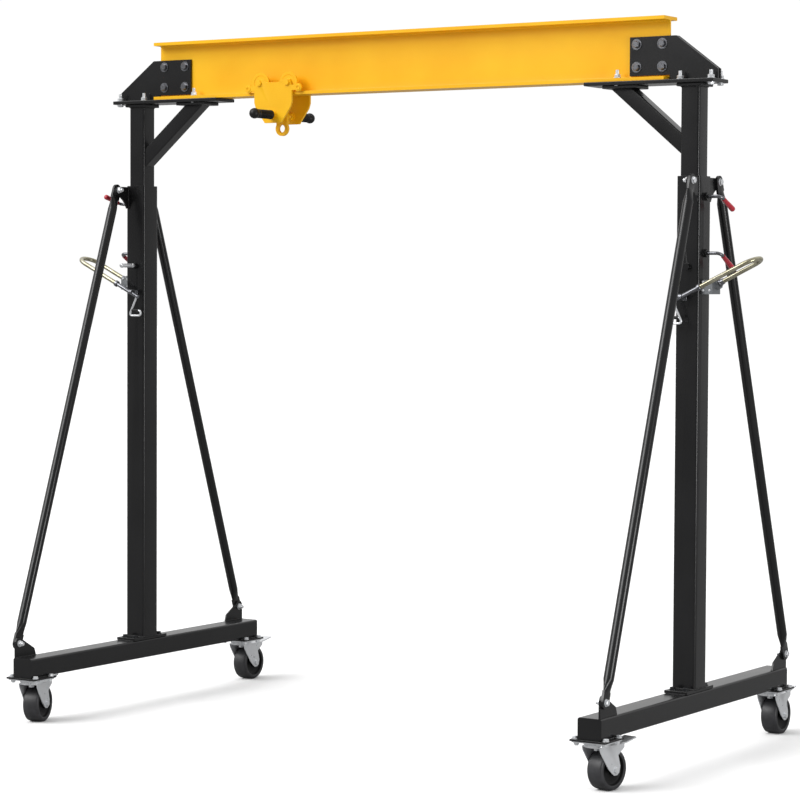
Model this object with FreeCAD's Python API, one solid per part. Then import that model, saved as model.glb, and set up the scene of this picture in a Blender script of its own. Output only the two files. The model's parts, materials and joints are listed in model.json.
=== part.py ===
"""Portable gantry crane: two telescoping legs on swivel casters and one I-beam with a push trolley.

Millimetres, +Z up, beam along X, floor at Z = 0. The legs are mirror images of each other in X,
so each leg piece is drawn once at the +X end and mirrored for the -X end.
"""

import math
import os

import FreeCAD
import Part

V = FreeCAD.Vector

# ---- driving sizes -------------------------------------------------------------------------
leg_spacing = 2178.0  # post centre to post centre
beam_end_gap = 86.0  # beam's end, in from the post axis
beam_height = 200.0
beam_width = 90.0
beam_flange = 11.0
beam_web = 7.5
beam_root = 5.0

base_length = 1300.0
base_height = 65.0
base_wall = 4.0
base_corner = 7.0
drain_r = 5.0

post_size = 80.0
post_wall = 5.0
post_corner = 8.0
post_top = 1838.0
slide_gap = 2.5  # inner post to outer post, each side
inner_wall = 4.0
inner_corner = 8.0
foot_length = 185.0
foot_thick = 10.0
stop_gap = 4.0  # the inner post ends this far above the foot plate

caster_rise = 29.0  # wheel top to the caster's mounting face
pad_size = 120.0
pad_thick = 6.0
pad_overhang = 13.0  # past the end of the base tube
wheel_d = 125.0
wheel_width = 57.0
wheel_rim = 14.0
wheel_dish = 11.0
wheel_crown = 5.0
hub_r = 16.0
axle_r = 6.0
trail = 48.0
fork_gap = 63.0
fork_sheet = 3.0
caster_plate = 110.0
caster_plate_thick = 4.0
race_r = 40.0
race_height = 11.0
race_ring = 4.0  # the fixed ring over the race
kingpin_r = 6.0
pedal_reach = 162.0
pedal_width = 46.0
pedal_thick = 4.0
pedal_rise = 10.0  # of its tip
pedal_tip = 50.0
fork_back = 89.0  # swivel axis to the fork's far edge
fork_front = 29.0
fork_waist = 44.0  # above the axle
fork_waist_out = 12.0
fork_heel = 22.0
fork_foot = 16.0  # below the axle
fork_toe = 17.0
fork_shin = 36.0
caster_turns = {"left": (15.0, 0.0), "right": (-10.0, 0.0)}  # degrees, front and rear
axle_end = 3.0
axle_nut = 6.0
kingpin_end = 8.0

ear_thick = 6.0
ear_inset = 4.0  # ear's outer face, in from the tube's outer face
head_ear_depth = 80.0
head_ear_drop = 4.0  # below the post top
head_ear_tip = 21.0  # past the bolt
head_ear_bevel = 12.0
head_ear_edge = 34.0
head_ear_root = 8.0
head_ear_bow = 24.0
foot_ear_length = 106.0
foot_ear_toe = 24.0
foot_ear_bevel = 8.0
foot_ear_top = 20.0  # above the bolt
brace_d = 32.0
brace_wall = 2.5
brace_flat = 8.0
brace_flat_width = 40.0
brace_taper = 70.0
brace_tab = 26.0
brace_head_out = 55.0  # past the post's face
brace_head_drop = 16.0  # below the post top
brace_foot_inset = 20.0  # in from the end of the base tube
brace_foot_rise = 47.0  # above the base tube
bolt_r = 6.0
bolt_head_r = 10.0
bolt_head_height = 8.0
bolt_tail = 18.0
nut_height = 10.0
weep_r = 2.0

screw_r = 6.0
screw_drops = (64.0, 240.0)  # clamp screws, below the post top
screw_reach = 55.0  # post face to the bend
screw_bend = 16.0
screw_handle = 92.0
screw_grip = 74.0
screw_grip_r = 9.0
screw_tip_gap = 0.4
boss_r = 13.0
boss_length = 10.0
pin_drop = 282.0  # locating pin, below the post top
pin_r = 7.0
pin_reach = 82.0  # past the post's face
pin_boss_r = 11.0
pin_boss_length = 12.0

drive_slope = 26.0  # degrees above level, rising outwards
drive_drop = 374.3  # post top down to the drive's centre line at the post axis
drive_near_out = 32.0  # in front of the post's face
drive_far_y = 14.0
gear_offset = 8.0  # the block's middle, in front of the tube in it
drive_out = 247.0  # furthest reach of the bend, past the post axis
drive_r = 7.5
sleeve_start = 64.5  # along the slope, from the post axis
sleeve_end = -30.0
sleeve_r = 7.0
collar_r = 11.0
collar_length = 10.0
gear_depth = 38.0
gear_width = 56.0
gear_height = 44.0
gear_neck_r = 17.0
gear_neck_length = 12.0
clip_place = 22.0  # from the sleeve's end
clip_width = 14.0
clip_drop = 6.0
clip_rise = 16.0
clip_thick = 4.0
crank_arm = 76.0
crank_r = 3.5
crank_loop = 50.0
crank_loop_width = 18.0
crank_bend = 7.0
crank_corner = 8.0
crank_bar = 40.0
crank_grip = 27.5
crank_grip_r = 5.5
crank_hub_length = 12.0

head_rise = 300.0  # post top to the beam's underside
cap_thick = 10.0  # also of the pad on the knee strut
head_thick = 12.0
head_in = 365.0  # reaches of the head plate, from the post axis
head_out = 89.0
head_width = 110.0
strut_pad_setback = 10.0  # in from the head plate's long edges
cap_margin = 10.5  # cap plate past the inner post's faces
strut_size = 50.0
strut_wall = 3.0
strut_corner = 5.0
strut_angle = 40.0
strut_pad_in = 304.0
strut_pad_length = 120.0
gusset_thick = 8.0
gusset_in = 223.0
gusset_top = 163.0  # length of the level top edge
gusset_out = 85.0
gusset_end_gap = 5.0
gusset_rise = 139.0  # above the beam's underside
gusset_toe = 31.0
web_bolt_in = (198.0, 108.0)  # from the post axis
web_bolt_z = (44.5, 116.0)  # above the beam's underside
web_bolt_r = 8.0
web_bolt_head_r = 13.0
web_bolt_head = 10.0
web_bolt_nut = 13.0
web_bolt_tail = 18.0

trolley_x = -480.0
trolley_plate = 8.0
trolley_side = 5.0  # flange edge to side plate
trolley_wheel_x = 58.0
trolley_wheel_r = 30.0
trolley_wheel_width = 20.0
trolley_wheel_flange = 36.0
trolley_axle_r = 6.0
trolley_half = 78.0
trolley_lug_x = 104.0
trolley_lug_rise = 23.0  # above the beam's underside
trolley_lug_r = 13.5
trolley_lug_neck = 18.0
trolley_drop = 95.0  # beam underside to the plates' lower edge
spindle_drop = 68.0
spindle_r = 8.0
grip_r = 16.0
grip_ball_r = 18.0
grip_end = 182.0
grip_start = 68.0
eye_drop = 112.0
eye_r = 25.0
eye_hole_r = 13.5
eye_thick = 12.0
eye_boss_r = 16.0
eye_boss_length = 40.0
running_gap = 0.3
pin_gap = 0.05

# ---- places that follow from them -----------------------------------------------------------
post_x = leg_spacing / 2
beam_length = leg_spacing - 2 * beam_end_gap
base_width = post_size  # their sides are flush
caster_height = wheel_d + caster_rise
inner_size = post_size - 2 * post_wall - 2 * slide_gap
base_bottom = caster_height + pad_thick
base_top = base_bottom + base_height
foot_top = base_top + foot_thick
post_half = post_size / 2
pad_y = base_length / 2 + pad_overhang - pad_size / 2
beam_bottom = post_top + head_rise
head_bottom = beam_bottom - head_thick
inner_top = head_bottom - cap_thick
wheel_r = wheel_d / 2
front_y = -(base_length / 2 + pad_overhang)
back_y = pad_y + pedal_reach
shift_y = -(front_y + back_y) / 2
slope = math.radians(drive_slope)
drive_level = post_top - drive_drop
ear_x = post_half - ear_inset
brace_head_y = post_half + brace_head_out
drive_near_y = -(post_half + drive_near_out)
neck_start = (post_half + gear_depth - 4) / math.cos(slope)
neck_end = neck_start + gear_neck_length
sides = {"left": -1, "right": 1}


# ---- helpers ------------------------------------------------------------------------------
def block(x0, x1, y0, y1, z0, z1):
    return Part.makeBox(x1 - x0, y1 - y0, z1 - z0, V(x0, y0, z0))


def rod(r, start, end):
    along = end - start
    return Part.makeCylinder(r, along.Length, start, along)


def fused(*shapes):
    whole = shapes[0]
    for shape in shapes[1:]:
        whole = whole.fuse(shape)
    return whole.removeSplitter()


def rounded_bar(width, depth, corner, length):
    """A bar of rounded section, centred on the Z axis, standing on Z = 0."""
    bar = block(-width / 2, width / 2, -depth / 2, depth / 2, 0, length)
    upright = [e for e in bar.Edges if abs(e.BoundBox.ZLength - length) < 1e-6]
    return bar.makeFillet(corner, upright)


def square_tube(width, depth, wall, corner, length):
    outer = rounded_bar(width, depth, corner, length)
    inner = rounded_bar(width - 2 * wall, depth - 2 * wall, corner - wall / 2, length)
    return outer.cut(inner)


def plate(points, thick, axis):
    """A flat outline pushed along X or Y; points are (across, up) and thick is (low, high)."""
    low, high = thick
    if axis == "x":
        corners = [V(low, a, z) for a, z in points]
        push = V(high - low, 0, 0)
    else:
        corners = [V(a, low, z) for a, z in points]
        push = V(0, high - low, 0)
    return Part.Face(Part.makePolygon(corners + corners[:1])).extrude(push)


def on_slope(s, y):
    """A point on the drive's sloping line, s along it from the post axis."""
    return V(s * math.cos(slope), y, drive_level + s * math.sin(slope))


def hexagon(r, start, end):
    """A hexagonal bar of across-corner radius r from start to end."""
    along = end - start
    ring = [V(r * math.cos(i * math.pi / 3), r * math.sin(i * math.pi / 3), 0) for i in range(6)]
    bar = Part.Face(Part.makePolygon(ring + ring[:1])).extrude(V(0, 0, along.Length))
    bar.Placement = FreeCAD.Placement(start, FreeCAD.Rotation(V(0, 0, 1), along))
    return bar


def rounded_path(points, radii):
    """Straight runs between points with an arc at each inner point: a list of runs and arcs."""
    runs = []
    start = points[0]
    for before, corner, after, r in zip(points, points[1:], points[2:], radii):
        back = (before - corner).normalize()
        on = (after - corner).normalize()
        half = back.getAngle(on) / 2
        reach = r / math.tan(half)
        entry = corner + back * reach
        if (entry - start).Length > 1e-6:
            runs.append((start, entry))
        hub = corner + (back + on).normalize() * (r / math.sin(half))
        runs.append((entry, hub, on.cross(back), 180 - math.degrees(2 * half)))
        start = corner + on * reach
    runs.append((start, points[-1]))
    return runs


def pipe(r, runs):
    """A round bar: a cylinder on each run, and a circle swung about its hub on each arc."""
    whole = None
    for run in runs:
        if len(run) == 2:
            piece = rod(r, *run)
        else:
            entry, hub, turn_axis, degrees = run
            along = turn_axis.cross(entry - hub)
            ring = Part.Face(Part.Wire(Part.Circle(entry, along, r).toShape()))
            piece = ring.revolve(hub, turn_axis, degrees)
        whole = piece if whole is None else whole.fuse(piece)
    return whole


nodes = {}


def keep(name, *solids):
    shape = solids[0] if len(solids) == 1 else Part.makeCompound(list(solids))
    shape = shape.copy()
    shape.translate(V(0, shift_y, 0))
    nodes[name] = shape


def keep_leg(side, name, *solids):
    """Moves a leg piece from the post axis out to its end, mirrored on the left."""
    moved = []
    for solid in solids:
        copy = solid.copy()
        copy.translate(V(post_x, 0, 0))
        moved.append(copy if sides[side] > 0 else copy.mirror(V(0, 0, 0), V(1, 0, 0)))
    keep(f"{side}_{name}", *moved)


# ---- one leg, drawn about its post axis with +X outwards -------------------------------------
def base_tube():
    tube = square_tube(base_width, base_height, base_wall, base_corner, base_length)
    tube.rotate(V(0, 0, 0), V(1, 0, 0), 90)
    tube.translate(V(0, base_length / 2, base_bottom + base_height / 2))
    caps = []
    for end in (-1, 1):
        far = end * (base_length / 2 - base_wall / 2)
        cap = rounded_bar(base_width - base_wall, base_height - base_wall, base_corner - base_wall / 2,
                          base_wall)
        cap.rotate(V(0, 0, 0), V(1, 0, 0), 90)
        cap.translate(V(0, far + base_wall / 2, base_bottom + base_height / 2))
        caps.append(cap)
    drain = rod(drain_r, V(0, 0, base_bottom - 1), V(0, 0, base_bottom + base_wall + 1))
    return fused(tube, *caps).cut(drain)


def caster_pad(end):
    half = pad_size / 2
    centre = end * pad_y
    return block(-half, half, centre - half, centre + half, caster_height, base_bottom)


def post_foot():
    half = foot_length / 2
    return block(-base_width / 2, base_width / 2, -half, half, base_top, foot_top)


def outer_post():
    tube = square_tube(post_size, post_size, post_wall, post_corner, post_top - foot_top)
    tube.translate(V(0, 0, foot_top))
    for drop in screw_drops:
        level = post_top - drop
        boss = rod(boss_r, V(post_half - 1, 0, level), V(post_half + boss_length, 0, level))
        tube = tube.fuse(boss)
        reach = post_half + boss_length + 1
        tube = tube.cut(rod(screw_r + running_gap, V(inner_size / 2, 0, level), V(reach, 0, level)))
    level = post_top - pin_drop
    front = -post_half
    boss = rod(pin_boss_r, V(0, front + 1, level), V(0, front - pin_boss_length, level))
    return tube.fuse(boss).removeSplitter()


def head_ear(end):
    low = post_top - head_ear_depth
    top = post_top - head_ear_drop
    tip = brace_head_y + head_ear_tip
    root = post_half + head_ear_root
    corners = [V(0, end * post_half, top), V(0, end * (tip - head_ear_bevel), top)]
    corners += [V(0, end * tip, top - head_ear_bevel), V(0, end * tip, post_top - head_ear_edge)]
    hollow = V(0, end * (post_half + head_ear_bow), low + head_ear_bow)
    last = [V(0, end * root, low), V(0, end * post_half, low), corners[0]]
    edges = [Part.makeLine(a, b) for a, b in zip(corners, corners[1:])]
    edges.append(Part.Arc(corners[-1], hollow, last[0]).toShape())
    edges += [Part.makeLine(a, b) for a, b in zip(last, last[1:])]
    ear = Part.Face(Part.Wire(edges)).extrude(V(ear_thick, 0, 0))
    ear.translate(V(ear_x - ear_thick, 0, 0))
    return ear.cut(brace_hole(brace_bolt_place(end, "head")))


def foot_ear(end):
    far = base_length / 2
    bolt_y = far - brace_foot_inset
    level = base_top + brace_foot_rise
    top = level + foot_ear_top
    bevel = foot_ear_bevel
    outline = [(far, base_top), (far, level + bevel), (far - bevel, top), (bolt_y - bevel, top)]
    outline += [(bolt_y - 3 * bevel, level + bevel), (far - foot_ear_length + bevel, base_top + foot_ear_toe)]
    outline.append((far - foot_ear_length, base_top))
    ear = plate([(end * y, z) for y, z in outline], (ear_x - ear_thick, ear_x), "x")
    return ear.cut(brace_hole(brace_bolt_place(end, "foot")))


def brace_hole(place):
    reach = V(brace_d, 0, 0)
    return rod(bolt_r + pin_gap, place - reach, place + reach)


def brace_bolt_place(end, which):
    if which == "head":
        return V(ear_x, end * brace_head_y, post_top - brace_head_drop)
    return V(ear_x, end * (base_length / 2 - brace_foot_inset), base_top + brace_foot_rise)


def brace(end):
    """A round tube whose two ends are pressed flat and bolted to the outside of the ears."""
    foot = brace_bolt_place(end, "foot") + V(brace_flat / 2, 0, 0)
    head = brace_bolt_place(end, "head") + V(brace_flat / 2, 0, 0)
    length = (head - foot).Length
    body = rod(brace_d / 2, V(0, 0, brace_taper), V(0, 0, length - brace_taper))
    inset = brace_taper + brace_wall
    body = body.cut(rod(brace_d / 2 - brace_wall, V(0, 0, inset), V(0, 0, length - inset)))
    shape = body.cut(rod(weep_r, V(0, 0, inset + brace_d), V(brace_d, 0, inset + brace_d)))
    half = brace_flat_width / 2
    for z, turn in ((0, 1), (length, -1)):
        round_place = V(0, 0, z + turn * brace_taper)
        ring = Part.Wire(Part.Circle(round_place, V(0, 0, 1), brace_d / 2).toShape())
        oval = Part.Ellipse(V(0, 0, z + turn * brace_tab), half, brace_flat / 2).toShape()
        oval.rotate(V(0, 0, 0), V(0, 0, 1), 90)
        low, high = sorted((z, z + turn * (brace_tab + brace_flat)))
        tab = block(-brace_flat / 2, brace_flat / 2, -half, half, low, high)
        round_end = rod(half, V(-brace_flat / 2, 0, z), V(brace_flat / 2, 0, z))
        shape = shape.fuse(Part.makeLoft([ring, Part.Wire(oval)], True)).fuse(tab.fuse(round_end))
    for z in (0, length):
        shape = shape.cut(brace_hole(V(0, 0, z)))
    shape.Placement = FreeCAD.Placement(foot, FreeCAD.Rotation(V(0, 0, 1), head - foot))
    return shape


def brace_bolt(end, which):
    seat = brace_bolt_place(end, which)
    outer = seat + V(brace_flat, 0, 0)
    inner = seat - V(ear_thick, 0, 0)
    shank = rod(bolt_r, inner - V(bolt_tail, 0, 0), outer + V(1, 0, 0))
    head = hexagon(bolt_head_r, outer, outer + V(bolt_head_height, 0, 0))
    nut = hexagon(bolt_head_r, inner - V(nut_height, 0, 0), inner)
    return fused(shank, head, nut)


def locating_pin():
    level = post_top - pin_drop
    front = -(post_half + pin_boss_length)
    return rod(pin_r, V(0, front, level), V(0, -(post_half + pin_reach), level))


def gear_block():
    low = post_half
    middle = drive_level + (low + gear_depth / 2) * math.tan(slope)
    front = drive_far_y - gear_offset - gear_width / 2
    body = block(low, low + gear_depth, front, front + gear_width, middle - gear_height / 2,
                 middle + gear_height / 2)
    neck = rod(gear_neck_r, on_slope(neck_start, drive_far_y), on_slope(neck_end, drive_far_y))
    return fused(body, neck)


def drive_tube():
    """Out from the gear block, round its bend and back past the front of the post."""
    bend = (drive_far_y - drive_near_y) / 2
    turn = drive_out / math.cos(slope) - bend - drive_r
    near_end = on_slope(sleeve_start, drive_near_y)
    runs = [(on_slope(neck_end, drive_far_y), on_slope(turn, drive_far_y))]
    up = V(-math.sin(slope), 0, math.cos(slope))
    runs.append((on_slope(turn, drive_far_y), on_slope(turn, drive_far_y - bend), up * -1, 180))
    runs.append((on_slope(turn, drive_near_y), near_end))
    half = collar_length / 2
    collar = rod(collar_r, on_slope(sleeve_start + half, drive_near_y), on_slope(sleeve_start - half, drive_near_y))
    sleeve = rod(sleeve_r, near_end, on_slope(sleeve_end, drive_near_y))
    return fused(pipe(drive_r, runs), collar, sleeve, drive_clip())


def drive_clip():
    """The hook that holds the sleeve off the front of the post."""
    centre = on_slope(sleeve_end + clip_place, drive_near_y)
    half = clip_width / 2
    low = centre.z + sleeve_r - 1
    strap = block(centre.x - half, centre.x + half, centre.y, -post_half, low, low + clip_thick)
    foot = block(centre.x - half, centre.x + half, -post_half - clip_thick, -post_half,
                 centre.z - clip_drop, centre.z + clip_rise)
    return strap.fuse(foot)


def crank():
    """A bent wire arm with a looped handle, turning in the end of the sleeve."""
    hub_start = sleeve_end - running_gap
    hub = rod(sleeve_r, on_slope(hub_start, drive_near_y), on_slope(hub_start - crank_hub_length, drive_near_y))
    down = V(math.sin(slope), 0, -math.cos(slope))
    top = on_slope(hub_start - crank_hub_length / 2, drive_near_y)
    low = top + down * crank_arm
    inward = V(-crank_loop, 0, 0)
    rise = V(0, 0, crank_loop_width)
    far = low + inward + rise
    points = [top, low, low + inward, far, far + V(crank_bar, 0, 0)]
    wire = pipe(crank_r, rounded_path(points, (crank_bend, crank_corner, crank_corner)))
    grip = rod(crank_grip_r, far + V(crank_corner + 2, 0, 0), far + V(crank_corner + 2 + crank_grip, 0, 0))
    return fused(hub, wire, grip)


def clamp_screw(drop, angle):
    """A bent rod with a sleeved handle; its tip stops just short of the inner post."""
    level = post_top - drop
    tip = V(inner_size / 2 + screw_tip_gap, 0, level)
    bend = V(post_half + screw_reach, 0, level)
    way = V(0, math.cos(math.radians(angle)), math.sin(math.radians(angle)))
    end = bend + way * screw_handle
    grip = rod(screw_grip_r, end - way * screw_grip, end + way * 2)
    return fused(pipe(screw_r, rounded_path((tip, bend, end), (screw_bend,))), grip)


# ---- casters, drawn about their swivel axis -------------------------------------------------
def caster_top():
    half = caster_plate / 2
    plate_low = caster_height - caster_plate_thick
    top = block(-half, half, -half, half, plate_low, caster_height)
    ring = rod(race_r, V(0, 0, plate_low - race_ring), V(0, 0, plate_low))
    stem_low = plate_low - race_ring - race_height - kingpin_end
    stem = rod(kingpin_r, V(0, 0, stem_low), V(0, 0, plate_low - race_ring + 1))
    nut = hexagon(bolt_head_r, V(0, 0, stem_low - race_ring), V(0, 0, stem_low + race_ring))
    return fused(top, ring, stem, nut)


def caster_fork():
    race_top = caster_height - caster_plate_thick - race_ring - running_gap
    race_low = race_top - race_height
    top = race_low + fork_sheet
    race = rod(race_r - 2, V(0, 0, race_low), V(0, 0, race_top))
    half = fork_gap / 2
    out = half + fork_sheet
    crown = block(-out, out, -fork_front, fork_back, race_low, top)
    foot = wheel_r - fork_foot
    outline = [(-fork_front, top), (4 - fork_front, top - 14), (trail - fork_shin, wheel_r + 8)]
    outline += [(trail - fork_toe, wheel_r - 9), (trail - 7, foot), (trail + 7, foot), (trail + fork_toe, wheel_r - 9)]
    outline += [(trail + fork_heel, wheel_r + 10), (trail + fork_waist_out, wheel_r + fork_waist)]
    outline += [(fork_back, top - 12), (fork_back, top)]
    pieces = [race, crown]
    for side in (-1, 1):
        low, high = sorted((side * half, side * out))
        pieces.append(plate(outline, (low, high), "x"))
        pieces.append(hexagon(bolt_head_r, V(side * out, trail, wheel_r), V(side * (out + axle_nut), trail, wheel_r)))
    pieces.append(rod(axle_r, V(-out - axle_end, trail, wheel_r), V(out + axle_end, trail, wheel_r)))
    pieces.append(pedal(race_low))
    return fused(*pieces).cut(rod(kingpin_r + running_gap, V(0, 0, race_low - 1), V(0, 0, race_top + 1)))


def pedal(level):
    """The brake tongue behind the wheel."""
    start = race_r + fork_sheet * 3
    knee = pedal_reach - pedal_tip
    top = level + fork_sheet
    low = top - pedal_thick
    outline = [(start, top), (start, low), (knee, low), (pedal_reach, low + pedal_rise)]
    outline += [(pedal_reach, top + pedal_rise), (knee, top)]
    return plate(outline, (-pedal_width / 2, pedal_width / 2), "x")


def caster_wheel():
    """Tyre, dished web and hub in one turned section, on the axle."""
    half = wheel_width / 2
    hub_half = fork_gap / 2 - running_gap
    bore = axle_r + pin_gap
    web = half - wheel_dish
    rim = wheel_r - wheel_rim
    crown = wheel_crown
    outline = [(bore, -hub_half), (hub_r, -hub_half), (hub_r, -web), (rim, -web), (rim, -half)]
    outline += [(wheel_r - crown, -half), (wheel_r, -half + crown), (wheel_r, half - crown)]
    outline += [(wheel_r - crown, half), (rim, half), (rim, web), (hub_r, web), (hub_r, hub_half)]
    outline += [(bore, hub_half)]
    corners = [V(x, 0, r) for r, x in outline]
    section = Part.Face(Part.makePolygon(corners + corners[:1]))
    wheel = section.revolve(V(0, 0, 0), V(1, 0, 0), 360)
    wheel.translate(V(0, trail, wheel_r))
    return wheel


# ---- upper frame -----------------------------------------------------------------------------
def main_beam():
    half = beam_width / 2
    web = beam_web / 2
    top = beam_height
    low = beam_flange
    high = beam_height - beam_flange
    outline = [(-half, 0), (half, 0), (half, low), (web, low), (web, high), (half, high), (half, top)]
    outline += [(-half, top), (-half, high), (-web, high), (-web, low), (-half, low)]
    corners = [V(-beam_length / 2, y, beam_bottom + z) for y, z in outline]
    beam = Part.Face(Part.makePolygon(corners + corners[:1])).extrude(V(beam_length, 0, 0))
    roots = [e for e in beam.Edges if e.BoundBox.XLength > beam_length - 1 and abs(e.Vertexes[0].Y) < web + 0.1]
    beam = beam.makeFillet(beam_root, roots)
    for side in (-1, 1):
        for x in web_bolt_in:
            for z in web_bolt_z:
                centre = V(side * (post_x - x), 0, beam_bottom + z)
                beam = beam.cut(rod(web_bolt_r + pin_gap, centre - V(0, web + 1, 0), centre + V(0, web + 1, 0)))
    return beam


def gusset(face):
    notch = gusset_end_gap - beam_end_gap
    step = beam_bottom + beam_flange + beam_root + 1
    top = beam_bottom + gusset_rise
    outline = [(-gusset_in, step), (-gusset_in, top), (gusset_top - gusset_in, top)]
    outline += [(gusset_out, beam_bottom + gusset_toe), (gusset_out, beam_bottom)]
    outline += [(notch, beam_bottom), (notch, step)]
    near = beam_web / 2
    shape = plate(outline, sorted((face * near, face * (near + gusset_thick))), "y")
    reach = V(0, beam_width, 0)
    for x in web_bolt_in:
        for z in web_bolt_z:
            centre = V(-x, 0, beam_bottom + z)
            shape = shape.cut(rod(web_bolt_r + pin_gap, centre - reach, centre + reach))
    return shape


def web_bolt(x, z):
    centre = V(-x, 0, beam_bottom + z)
    face = beam_web / 2 + gusset_thick
    shank = rod(web_bolt_r, centre - V(0, face + 1, 0), centre + V(0, face + web_bolt_tail, 0))
    head = hexagon(web_bolt_head_r, centre - V(0, face, 0), centre - V(0, face + web_bolt_head, 0))
    nut = hexagon(web_bolt_head_r, centre + V(0, face, 0), centre + V(0, face + web_bolt_nut, 0))
    return fused(shank, head, nut)


def head_plate():
    half = head_width / 2
    return block(-head_in, head_out, -half, half, head_bottom, beam_bottom)


def cap_plate():
    half = inner_size / 2 + cap_margin
    return block(-half, half, -half, half, inner_top, head_bottom)


def strut_pad():
    half = head_width / 2 - strut_pad_setback
    return block(-strut_pad_in, strut_pad_length - strut_pad_in, -half, half, inner_top, head_bottom)


def inner_post():
    low = foot_top + stop_gap
    tube = square_tube(inner_size, inner_size, inner_wall, inner_corner, inner_top - low)
    tube.translate(V(0, 0, low))
    return tube


def knee_strut():
    """A square tube from the inner post up to the head plate, cut to both faces."""
    reach = strut_pad_in - strut_pad_length / 2
    span = 3 * reach
    tube = square_tube(strut_size, strut_size, strut_wall, strut_corner, span)
    tube.translate(V(0, 0, -span / 2))
    tube.rotate(V(0, 0, 0), V(0, 1, 0), -(90 - strut_angle))
    tube.translate(V(-reach, 0, inner_top))
    keep_in = block(-span, -inner_size / 2, -strut_size, strut_size, inner_top - span, inner_top)
    return tube.common(keep_in)


# ---- trolley, drawn about its own centre ----------------------------------------------------
def side_plate(face):
    inner = beam_width / 2 + trolley_side
    low = beam_bottom - trolley_drop
    wheel_z = beam_bottom + beam_flange + trolley_wheel_r + running_gap
    half = trolley_half
    outline = [(-34, low), (34, low), (half - 6, low + 52), (half, low + 70), (half, beam_bottom + 18)]
    outline += [(trolley_wheel_x + 12, wheel_z + 10), (trolley_wheel_x - 14, wheel_z + 12), (24, wheel_z + 2)]
    outline += [(-24, wheel_z + 2), (-trolley_wheel_x + 14, wheel_z + 12), (-trolley_wheel_x - 12, wheel_z + 10)]
    outline += [(-half, beam_bottom + 18), (-half, low + 70), (-half + 6, low + 52)]
    y = sorted((face * inner, face * (inner + trolley_plate)))
    shape = plate(outline, y, "y")
    lug_z = beam_bottom + trolley_lug_rise
    neck = trolley_lug_neck / 2
    shape = shape.fuse(block(-trolley_lug_x, trolley_lug_x, *y, lug_z - neck, lug_z + neck))
    for x in (-trolley_lug_x, trolley_lug_x):
        shape = shape.fuse(rod(trolley_lug_r, V(x, y[0], lug_z), V(x, y[1], lug_z)))
    reach = V(0, 80, 0)
    spindle_z = beam_bottom - spindle_drop
    shape = shape.cut(rod(spindle_r, V(0, 0, spindle_z) - reach * 2, V(0, 0, spindle_z) + reach * 2))
    for x in (-trolley_wheel_x, trolley_wheel_x):
        wheel_in = inner - running_gap - trolley_wheel_width - 3
        axle = rod(trolley_axle_r, V(x, face * wheel_in, wheel_z), V(x, face * (inner + 2), wheel_z))
        end = V(x, face * (inner + trolley_plate), wheel_z)
        nut = hexagon(bolt_head_r + 1, end, end + V(0, face * 6, 0))
        washer = rod(trolley_axle_r + 3, V(x, face * wheel_in, wheel_z), V(x, face * (wheel_in + 2.4), wheel_z))
        shape = fused(shape, axle, nut, washer)
    return shape


def trolley_wheel(face, x):
    inner = beam_width / 2 + trolley_side
    wheel_z = beam_bottom + beam_flange + trolley_wheel_r + running_gap
    outer_y = inner - running_gap
    inner_y = outer_y - trolley_wheel_width
    tread = rod(trolley_wheel_r, V(x, face * inner_y, wheel_z), V(x, face * (outer_y - 3.5), wheel_z))
    rim = rod(trolley_wheel_flange, V(x, face * (outer_y - 3.5), wheel_z), V(x, face * outer_y, wheel_z))
    bore = rod(trolley_axle_r + pin_gap, V(x, face * (inner_y - 1), wheel_z), V(x, face * (outer_y + 1), wheel_z))
    return fused(tread, rim).cut(bore)


def spindle():
    level = beam_bottom - spindle_drop
    inner = beam_width / 2 + trolley_side
    bar = rod(spindle_r, V(0, -grip_end + 8, level), V(0, grip_end - 8, level))
    nuts = []
    for face in (-1, 1):
        near = V(0, face * (inner + trolley_plate), level)
        nuts.append(rod(spindle_r + 5, near, near + V(0, face * 4, 0)))
    return fused(bar, *nuts)


def grip(face):
    level = beam_bottom - spindle_drop
    start = V(0, face * grip_start, level)
    end = V(0, face * (grip_end - grip_ball_r), level)
    body = fused(rod(grip_r, start, end), Part.makeSphere(grip_ball_r, end))
    return body.cut(rod(spindle_r + pin_gap, start, V(0, face * (grip_end - 8), level)))


def lifting_eye():
    level = beam_bottom - spindle_drop
    centre = beam_bottom - eye_drop
    half = eye_thick / 2
    disc = rod(eye_r, V(0, -half, centre), V(0, half, centre))
    shank = block(-eye_r + 3, eye_r - 3, -half, half, centre, level)
    boss = rod(eye_boss_r, V(0, -eye_boss_length / 2, level), V(0, eye_boss_length / 2, level))
    shape = fused(disc, shank, boss)
    shape = shape.cut(rod(spindle_r + running_gap, V(0, -99, level), V(0, 99, level)))
    return shape.cut(rod(eye_hole_r, V(0, -99, centre), V(0, 99, centre)))


# ---- the assembly ----------------------------------------------------------------------------
screw_angles = {"left": (164.0, -29.0), "right": (-25.0, -29.0)}
both_ends = {"front": -1, "rear": 1}

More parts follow.
